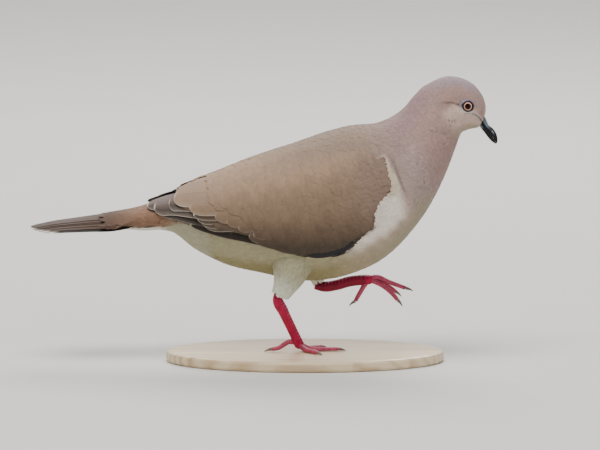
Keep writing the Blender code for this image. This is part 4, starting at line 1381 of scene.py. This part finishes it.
class DOVE_OT_flight_feathers(bpy.types.Operator):
    """Long feathers of the folded wings: primaries, secondaries, tertials and large coverts"""

    bl_idname = "dove.flight_feathers"
    bl_label = "Flight feathers"

    def execute(self, context):
        colours = context.scene.dove_colours
        finish = feather_material(
            "flight_feathers", roughness=0.6, sheen=0.05, barb_mm=0.7, streak=0.05, bump=0.2)

        def wing(rib, angle):
            """The wing's markings."""
            return marked(WING_MARKINGS, colours, rib, angle)

        fringe, dark = colours.fringe, colours.dark_web_and_shadow
        for side, sign in SIDES:
            # The left wing's primaries lie over the right wing's, with their inner vanes bare.
            crossed = float(side == "left")
            tints = {
                "dark": feather_tint(plain(dark), fringe, dark, 0.6),
                "primary": feather_tint(plain(colours.primaries), fringe, dark, 0.9, 0.65, 0.7 * crossed),
                "secondary": feather_tint(plain(colours.secondaries), fringe, dark, 0.95, 0.5),
                "slate": feather_tint(plain(colours.slate), colours.slate, colours.slate),
                "edge": feather_tint(wing, fringe, dark, 0.1),
                "covert": feather_tint(wing, fringe, dark, 0.3),
                "tertial": feather_tint(wing, fringe, dark, 0.7),
            }
            for name, chart, table in (
                ("primaries", body_surface, PRIMARY_FEATHERS),
                ("tertials", wing_surface, WING_FEATHERS),
            ):
                feathers = []
                for kind, *line, half, low, high in table:
                    line = [(rib, sign * math.radians(degrees)) for rib, degrees in line]
                    raised = 0.8 * crossed if name == "primaries" else 0.0
                    settings = dict(line=line, half=half, low=low, high=high + raised, tip=0.2, camber=0.25)
                    feathers.append((settings, tints[kind]))
                piece = quill_piece(f"{name}_feathers_{side}", chart, feathers, finish)
                outward(piece)
                if name == "primaries":
                    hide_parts(f"primaries_{side}")
        return {"FINISHED"}


def tail_chart(share, across, lift=0.0):
    """The closed tail's upper face: share of its length and -1 to 1 across it."""
    share, across, lift = np.broadcast_arrays(share, across, lift)
    x, top, width, droop = np.moveaxis(smooth(np.linspace(0, 1, len(TAIL)), TAIL, share), -1, 0)
    return np.stack([x, width * across, top - droop * across**2 + lift / MM], axis=-1) * MM


class DOVE_OT_tail(bpy.types.Operator):
    """Twelve tail feathers, the middle pair on top"""

    bl_idname = "dove.tail"
    bl_label = "Tail"

    def execute(self, context):
        colours = context.scene.dove_colours
        finish = feather_material(
            "tail_feathers", roughness=0.6, sheen=0.05, barb_mm=0.7, streak=0.05, bump=0.2)

        def brown(share, across):
            """The middle feathers' brown, deeper towards the tip."""
            deeper = 0.3 * step_up(share - 0.5, 0.4)
            return np.array(colours.tail_top[:]) * (1 - deeper + 0 * across)[..., None]

        feathers = []
        for pair in range(TAIL_PAIRS - 1, -1, -1):
            # Only the outermost feathers are black, which shows as a thin line along the side.
            colour = brown if pair < TAIL_PAIRS - 1 else plain(colours.tail_dark)
            tips = dict(tip=0.035 + 0.022 * pair, tip_colour=colours.tail_tip) if pair > 0 else {}
            tint = feather_tint(colour, colours.fringe, colours.dark_web_and_shadow, 0.1, **tips)
            for sign in (-1, 1):
                place = sign * (pair + 0.5) / (TAIL_PAIRS - 0.5)
                end = 1 - 0.15 * place**2 - 0.004 * (sign > 0)
                line = [(0.0, 0.42 * place), (0.5 * end, 0.56 * place), (end, 0.62 * place)]
                height = -0.35 * pair - 0.1 * (sign > 0) - 0.55
                half = 7.6 if pair < 2 else 6.6
                settings = dict(line=line, half=half, low=height, high=height, tip=0.12, camber=0.3)
                feathers.append((settings, tint))
        piece = quill_piece("tail_feathers", tail_chart, feathers, finish)
        outward(piece)
        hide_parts("tail")
        return {"FINISHED"}


def head_place(x, z, sign):
    """The rib and angle of the head's side at x and z in millimetres, by twelve steps of
    Newton's method from the place where the eye looks out."""
    rib = np.full_like(x, EYE_PLACE[0])
    angle = np.full_like(x, sign * math.radians(EYE_PLACE[1]))
    for _ in range(12):
        here = flat_surface(rib, angle) / MM
        along, across = (t / MM for t in tangents(lambda a, b, lift: flat_surface(a, b), rib, angle))
        scale = along[..., 0] * across[..., 2] - along[..., 2] * across[..., 0]
        dx, dz = x - here[..., 0], z - here[..., 2]
        rib = rib + (across[..., 2] * dx - across[..., 0] * dz) / scale
        angle = angle + (along[..., 0] * dz - along[..., 2] * dx) / scale
    return rib, angle


class DOVE_OT_eyes(bpy.types.Operator):
    """Eyeballs, and the lids and bare skin round them"""

    bl_idname = "dove.eyes"
    bl_label = "Eyes"

    def execute(self, context):
        colours = context.scene.dove_colours
        wet, bare = eye_material(colours), bare_skin_material()
        for side, sign in SIDES:
            eye = self.ball(f"eyeball_{side}", sign, wet)
            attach(eye, "root")
            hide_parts(f"eye_{side}")
            lids = self.lids(f"eyelids_{side}", sign, bare, colours)
            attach(lids, "root")
        return {"FINISHED"}

    def ball(self, name, sign, finish):
        """A ball in rings round its sideways axis. Its vane layer holds the cosine and sine of
        the turn, and the distance from the pupil's middle over the ball in millimetres."""
        turn = turns(64)
        polar = np.linspace(0.02, math.pi - 0.02, 56)[:, None]
        radial = EYE_RADIUS * np.sin(polar)
        rings = np.stack([
            EYE_CENTRE[0] + radial * np.cos(turn),
            sign * (EYE_CENTRE[1] + EYE_RADIUS * np.cos(polar)) + 0 * turn,
            EYE_CENTRE[2] + radial * np.sin(turn),
        ], axis=-1) * MM
        points, faces = tube(rings)
        outer = np.where(polar < math.pi / 2, radial, 2 * EYE_RADIUS - radial)
        vane = np.stack(np.broadcast_arrays(np.cos(turn), np.sin(turn), outer), axis=-1)
        vane = np.concatenate([vane.reshape(-1, 3), [(0, 0, 0), (0, 0, 9)]])
        return outward(new_piece(name, points, faces, finish, vane=vane))

    def lids(self, name, sign, finish, colours):
        """The lids' edge and the bare skin: rings that follow the lids' profile out from the
        eye, with a hidden face under the head's surface that closes them."""
        turn = turns(64)
        profile = smooth(np.linspace(0, 1, len(LID_PROFILE)), LID_PROFILE, np.linspace(0, 1, 30))
        reach, height, share = (profile[:, column, None] for column in range(3))
        reach = reach * (1 + 0.03 * np.cos(2 * turn))
        radius = reach * (1 - share) + bare_radius(turn) * share
        x = EYE_CENTRE[0] + radius * np.cos(turn)
        z = EYE_CENTRE[2] + radius * np.sin(turn)
        rib, angle = head_place(x, z, sign)
        wrinkle = 0.05 * np.sin(radius * 11 + 2 * np.sin(3 * turn)) * (share > 0.05)
        lid = body_surface(rib, angle, (height + wrinkle) * MM)
        base = body_surface(rib, angle, -LID_DEPTH * MM)
        rows, columns = 2 * lid.shape[0], lid.shape[1]
        here = np.arange(columns)
        after, last = (here + 1) % columns, (rows - 1) * columns
        inner = np.stack([last + here, last + after, after, here], axis=-1)
        # The lids' dark rim reaches out to a point in front of and behind the eye.
        before = 0.35 * np.clip(np.cos(turn + 0.5), 0, 1) ** 8
        behind = 0.45 * np.clip(-np.cos(turn + 0.2), 0, 1) ** 10
        edge = step_up(radius - 3.2 - (before + behind) - 0.05 * np.sin(7 * turn), 0.22)
        # The bluish skin is paler below the eye, and at its border takes the feathers' colours.
        below = step_up(-np.sin(turn) - 0.3, 0.4) * 0.7
        skin = blend(colours.orbital, colours.under_eye, below)
        skin = blend(skin, marked(BODY_MARKINGS, colours, rib, angle), step_up(share - 0.62, 0.35))
        shown = blend(colours.lid, skin, edge)
        tint = np.concatenate([shown, shown[::-1]])
        grid = np.concatenate([lid, base[::-1]])
        return outward(new_piece(name, grid, [grid_faces(rows, columns, wrap=True), inner], finish, tint))


class DOVE_OT_bill(bpy.types.Operator):
    """Both halves of the closed bill, with the swelling over the nostrils"""

    bl_idname = "dove.bill"
    bl_label = "Bill"

    def execute(self, context):
        colours = context.scene.dove_colours
        horn = horn_material("bill_horn", 0.32)
        share = np.linspace(0, 1, 56)
        rows = np.array([(*culmen, *gape, *keel, width) for culmen, gape, keel, width in BILL])
        cx, cz, gx, gz, kx, kz, width = np.moveaxis(smooth(np.linspace(0, 1, len(rows)), rows, share), -1, 0)
        turn = turns(40)
        up = np.sin(turn)
        # Each half: its ridge line, its width beside the whole bill's, how far along it the pale
        # skin of the base reaches, and how high that starts over the gape.
        for name, ridge_x, ridge_z, narrow, pale_to, pale_from in (
            ("upper", cx, cz, 1.0, 0.36, 0.3),
            ("lower", kx, kz, 0.88, 0.24, 0.4),
        ):
            over = np.stack([ridge_x - gx, ridge_z - gz], axis=-1)
            height = np.linalg.norm(over, axis=1)
            over = over / height[:, None]
            # Above the line of the gape the section is half an oval, below it a shallow one.
            rise = np.where(up > 0, up * height[:, None], 0.12 * up) + 0.13
            side = np.sign(np.cos(turn)) * np.abs(np.cos(turn)) ** 0.8 * width[:, None] * narrow
            # Bluish skin over the base, above and below a black line along the gape.
            pale = step_up(pale_to - share, 0.08)[:, None] * step_up(up - pale_from, 0.12)
            shown = blend(colours.bill, colours.bill_base, pale * step_up(1.04 - up, 0.1))
            if name == "upper":
                # The operculum: a swelling on each side, near the base, over a slit.
                swell = bell(share, 0.22, 0.08)[:, None] * bell(up, 0.6, 0.25)
                slit = bell(share, 0.28, 0.06)[:, None] * bell(up, 0.3, 0.09)
                side = side * (1 + 0.16 * swell - 0.2 * slit)
                rise = rise * (1 + 0.03 * swell)
                # A painted highlight halfway along the upper half's side.
                glint = bell(share, 0.52, 0.06)[:, None] * bell(up, 0.55, 0.12)
                shown = shown + 0.8 * glint[..., None] * (np.array(colours.painted_bill_glint) - shown)
            x = gx[:, None] + over[:, :1] * rise
            z = gz[:, None] + over[:, 1:] * rise
            points, faces = tube(np.stack([x, side, z], axis=-1) * MM)
            piece = outward(new_piece(f"bill_horn_{name}", points, faces, horn, with_ends(shown)))
            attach(piece, "root")
            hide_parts(f"bill_{name}")
        return {"FINISHED"}


def toe_joints(start, yaw, bones):
    """A toe's joints: each bone adds its length at its pitch, all along one heading."""
    points = [np.asarray(start, float)]
    for length, degrees in bones:
        pitch = math.radians(degrees)
        level = length * math.cos(pitch)
        points.append(points[-1] + (level * math.cos(yaw), level * math.sin(yaw), length * math.sin(pitch)))
    return np.array(points)


class DOVE_OT_legs(bpy.types.Operator):
    """Scaled shanks, feet and claws"""

    bl_idname = "dove.legs"
    bl_label = "Legs"

    def execute(self, context):
        colours = context.scene.dove_colours
        scaled, horn = leg_material(), horn_material("claw_horn", 0.35)
        red, pink_and_glint = np.array(colours.leg), np.array(colours.leg_pale)
        claws = []
        for side, sign in SIDES:
            path = [(x, sign * y, z) for x, y, z in SHANKS[side]]
            # The raised leg's shank is darkened by painted shadow, as it lies under the belly, and the toes
            # are pinker.
            painted_shadow = 0.55 if side == "left" else 1.0
            parts = [self.limb(side, path, SHANK_RADII[side], (0, 1, 0), (150, 28), 2.1, red * painted_shadow, pink_and_glint)]
            parts.append(self.pad(side, path[-1], red))
            for heading, bones, claw_pitch in TOES[side].values():
                yaw = math.radians(heading) * sign
                joints = toe_joints(path[-1], yaw, bones)
                across = (-math.sin(yaw), math.cos(yaw), 0.0)
                radii, skin = [(r, r) for r in TOE_RADII], 0.8 * red + 0.2 * pink_and_glint
                parts.append(self.limb(side, joints, radii, across, (80, 20), 1.35, skin, pink_and_glint))
                claws.append(self.claw(side, joints[-1], yaw, claw_pitch, across))
            points, faces = joined([part[:2] for part in parts])
            tint = np.concatenate([part[2] for part in parts])
            leg = outward(new_piece(f"leg_{side}", points, faces, scaled, tint))
            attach(leg, "root")
            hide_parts(f"shank_{side}", f"foot_{side}")
        points, faces = joined(claws)
        tint = np.tile(np.array(colours.claw), (len(points), 1))
        piece = outward(new_piece("claws", points, faces, horn, tint))
        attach(piece, "root")
        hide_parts(*[f"claw_{side}_{toe}" for side, _ in SIDES for toe in TOES[side]])
        return {"FINISHED"}

    def limb(self, side, path, radii, aside, counts, scute, skin, pale):
        """A scaled tube of counts rings and points to a ring: plates scute millimetres long
        overlap down its front, each rising to its lower edge. Returns points, faces and tint."""
        at, turn = np.linspace(0, 1, counts[0])[:, None], turns(counts[1])
        phase = (at * length_along(path)[-1] / scute) % 1.0
        facing = np.clip(np.cos(turn - math.pi / 2), 0, 1) ** 0.6
        plate = (phase**1.5 - 0.4) * facing
        grid = limb_surface(path, radii, aside, at, turn, SCUTE_RISE * plate * MM)
        # The last 3% of its length closes in a rounded end.
        closing = np.sqrt(np.clip(1 - np.clip((at - 0.97) / 0.03, 0, 1) ** 2, 0.05, 1))
        middle = grid.mean(axis=1, keepdims=True)
        points, faces = tube(on_sole(side, middle + (grid - middle) * closing[..., None]))
        # A painted highlight on each plate's lower edge, and dark in the groove above the next.
        shown = blend(skin, pale, 0.9 * (np.clip(plate / 0.6, 0, 1) * facing) ** 2)
        groove = (phase < 0.12)[..., None] * facing[..., None]
        return points, faces, with_ends(shown * (1 - 0.35 * groove))

    def pad(self, side, middle, skin):
        """The foot's pad, a ball that the toes grow from. Returns points, faces and tint."""
        polar = np.linspace(0.03, math.pi - 0.03, 16)[:, None]
        turn = turns(24)
        level, up = np.sin(polar), np.cos(polar) + 0 * turn
        ball = np.stack([level * np.cos(turn), level * np.sin(turn), up], axis=-1)
        points, faces = tube(on_sole(side, (middle + FOOT_RADIUS * ball) * MM))
        return points, faces, np.tile(skin, (len(points), 1))

    def claw(self, side, root, yaw, pitch, across):
        """A curved cone: its centre line turns down evenly and its radii shrink to the tip."""
        slope = np.radians(pitch - CLAW_BEND * np.linspace(0, 1, 12))
        level = np.cos(slope)
        steps = np.stack([level * math.cos(yaw), level * math.sin(yaw), np.sin(slope)], axis=-1)[1:]
        line = root + np.concatenate([[(0, 0, 0)], np.cumsum(steps, axis=0)]) * CLAW_LENGTH / len(steps)
        radii = [(0.85 * r, r) for r in CLAW_RADII]
        grid = limb_surface(line, radii, across, np.linspace(0, 1, 16)[:, None], turns(14))
        return tube(on_sole(side, grid))


class DOVE_OT_base(bpy.types.Operator):
    """The wooden base's finish"""

    bl_idname = "dove.base"
    bl_label = "Base"

    def execute(self, context):
        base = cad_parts["stand_base"]
        wood = wood_material(context.scene.dove_colours)
        for place in base.material_slots:
            place.material = wood
        return {"FINISHED"}


# The stage, in metres. The sheet runs from SHEET_SIDE in front of the dove to SHEET_REACH behind it,
# then bends up. The camera sees VIEW_WIDTH across at the place that it looks at.
SHEET_SIDE, SHEET_REACH, SHEET_BEND, SHEET_HEIGHT = 3.4, 2.8, 0.6, 3.0
TARGET = (-0.0028, 0.0, 0.0768)
FAR_FLOOR = (0.0, 2.3, 0.0)
CAMERA_DISTANCE, CAMERA_TILT, VIEW_WIDTH, SENSOR = 2.5, 7.0, 0.336, 36.0
# Each light: name, place, what it aims at, size, power, colour and its share in reflections.
LIGHTS = (
    ("key", (-0.4, -0.9, 2.2), TARGET, 1.3, 70.0, (1.0, 0.98, 0.95), 1.0),
    ("fill", (1.6, -1.7, 0.9), TARGET, 1.6, 14.0, (0.95, 0.98, 1.0), 0.15),
    ("back", (0.2, 1.2, 1.5), TARGET, 1.0, 24.0, (1.0, 1.0, 1.0), 0.15),
    ("floor", (0.0, 2.3, 1.8), FAR_FLOOR, 2.0, 40.0, (1.0, 1.0, 1.0), 0.15),
)
SKY_COLOUR, SKY_STRENGTH = (0.95, 0.97, 1.0, 1), 0.22


class DOVE_OT_stage(bpy.types.Operator):
    """Floor and backdrop in one sheet, soft lights and the camera"""

    bl_idname = "dove.stage"
    bl_label = "Stage"

    def execute(self, context):
        scene = context.scene
        # The sheet's profile: flat, a quarter circle, then upright.
        turn = np.linspace(0, math.pi / 2, 24)
        bend = SHEET_BEND * np.sin(turn)
        depth = np.concatenate([[-SHEET_SIDE], SHEET_REACH + bend, [SHEET_REACH + SHEET_BEND]])
        rise = np.concatenate([[0.0], SHEET_BEND - SHEET_BEND * np.cos(turn), [SHEET_HEIGHT]])
        across = np.linspace(-SHEET_SIDE, SHEET_SIDE, 9)
        grid = np.stack(np.broadcast_arrays(across[None, :], depth[:, None], rise[:, None]), axis=-1)
        faces = [grid_faces(len(depth), len(across))]
        sheet = new_piece("backdrop", grid, faces, floor_material(scene.dove_colours))
        for name, place, aim, size, power, colour, reflected in LIGHTS:
            light = bpy.data.lights.new(name, "AREA")
            light.size, light.energy, light.color = size, power, colour
            light.specular_factor = reflected
            lamp = bpy.data.objects.new(name, light)
            lamp.location = place
            lamp.rotation_euler = (Vector(aim) - Vector(place)).to_track_quat("-Z", "Y").to_euler()
            scene.collection.objects.link(lamp)
        world = bpy.data.worlds.new("studio")
        world.use_nodes = True
        sky = world.node_tree.nodes["Background"].inputs
        sky["Color"].default_value = SKY_COLOUR
        sky["Strength"].default_value = SKY_STRENGTH
        scene.world = world
        camera = bpy.data.cameras.new("camera")
        camera.sensor_width, camera.lens = SENSOR, SENSOR * CAMERA_DISTANCE / VIEW_WIDTH
        seen = bpy.data.objects.new("camera", camera)
        tilt = math.radians(CAMERA_TILT)
        back = Vector((0.0, -CAMERA_DISTANCE * math.cos(tilt), CAMERA_DISTANCE * math.sin(tilt)))
        seen.location = Vector(TARGET) + back
        seen.rotation_euler = (math.pi / 2 - tilt, 0.0, 0.0)
        scene.collection.objects.link(seen)
        scene.camera = seen
        return {"FINISHED"}


class DOVE_PT_panel(bpy.types.Panel):
    """Every piece of the dove, and its sizes and colours"""

    bl_idname = "DOVE_PT_panel"
    bl_label = "White-tipped dove"
    bl_space_type = "VIEW_3D"
    bl_region_type = "UI"
    bl_category = "Dove"

    def draw(self, context):
        for operator in OPERATORS:
            self.layout.operator(operator.bl_idname)
        for group in (context.scene.dove_sizes, context.scene.dove_colours):
            box = self.layout.box()
            for name in type(group).__annotations__:
                box.prop(group, name)


OPERATORS = (
    DOVE_OT_stage,
    DOVE_OT_skin,
    DOVE_OT_body_feathers,
    DOVE_OT_thigh_feathers,
    DOVE_OT_wing_coverts,
    DOVE_OT_flight_feathers,
    DOVE_OT_tail,
    DOVE_OT_eyes,
    DOVE_OT_bill,
    DOVE_OT_legs,
    DOVE_OT_base,
)
CLASSES = (DoveColours, DoveSizes, *OPERATORS, DOVE_PT_panel)


def register():
    """Registers the classes and gives the scene their settings."""
    for made in CLASSES:
        bpy.utils.register_class(made)
    bpy.types.Scene.dove_colours = PointerProperty(type=DoveColours)
    bpy.types.Scene.dove_sizes = PointerProperty(type=DoveSizes)


def unregister():
    """Takes away what register() adds."""
    del bpy.types.Scene.dove_sizes
    del bpy.types.Scene.dove_colours
    for made in reversed(CLASSES):
        bpy.utils.unregister_class(made)


def main():
    register()
    for operator in OPERATORS:
        group, name = operator.bl_idname.split(".")
        getattr(getattr(bpy.ops, group), name)()


if __name__ == "__main__":
    main()
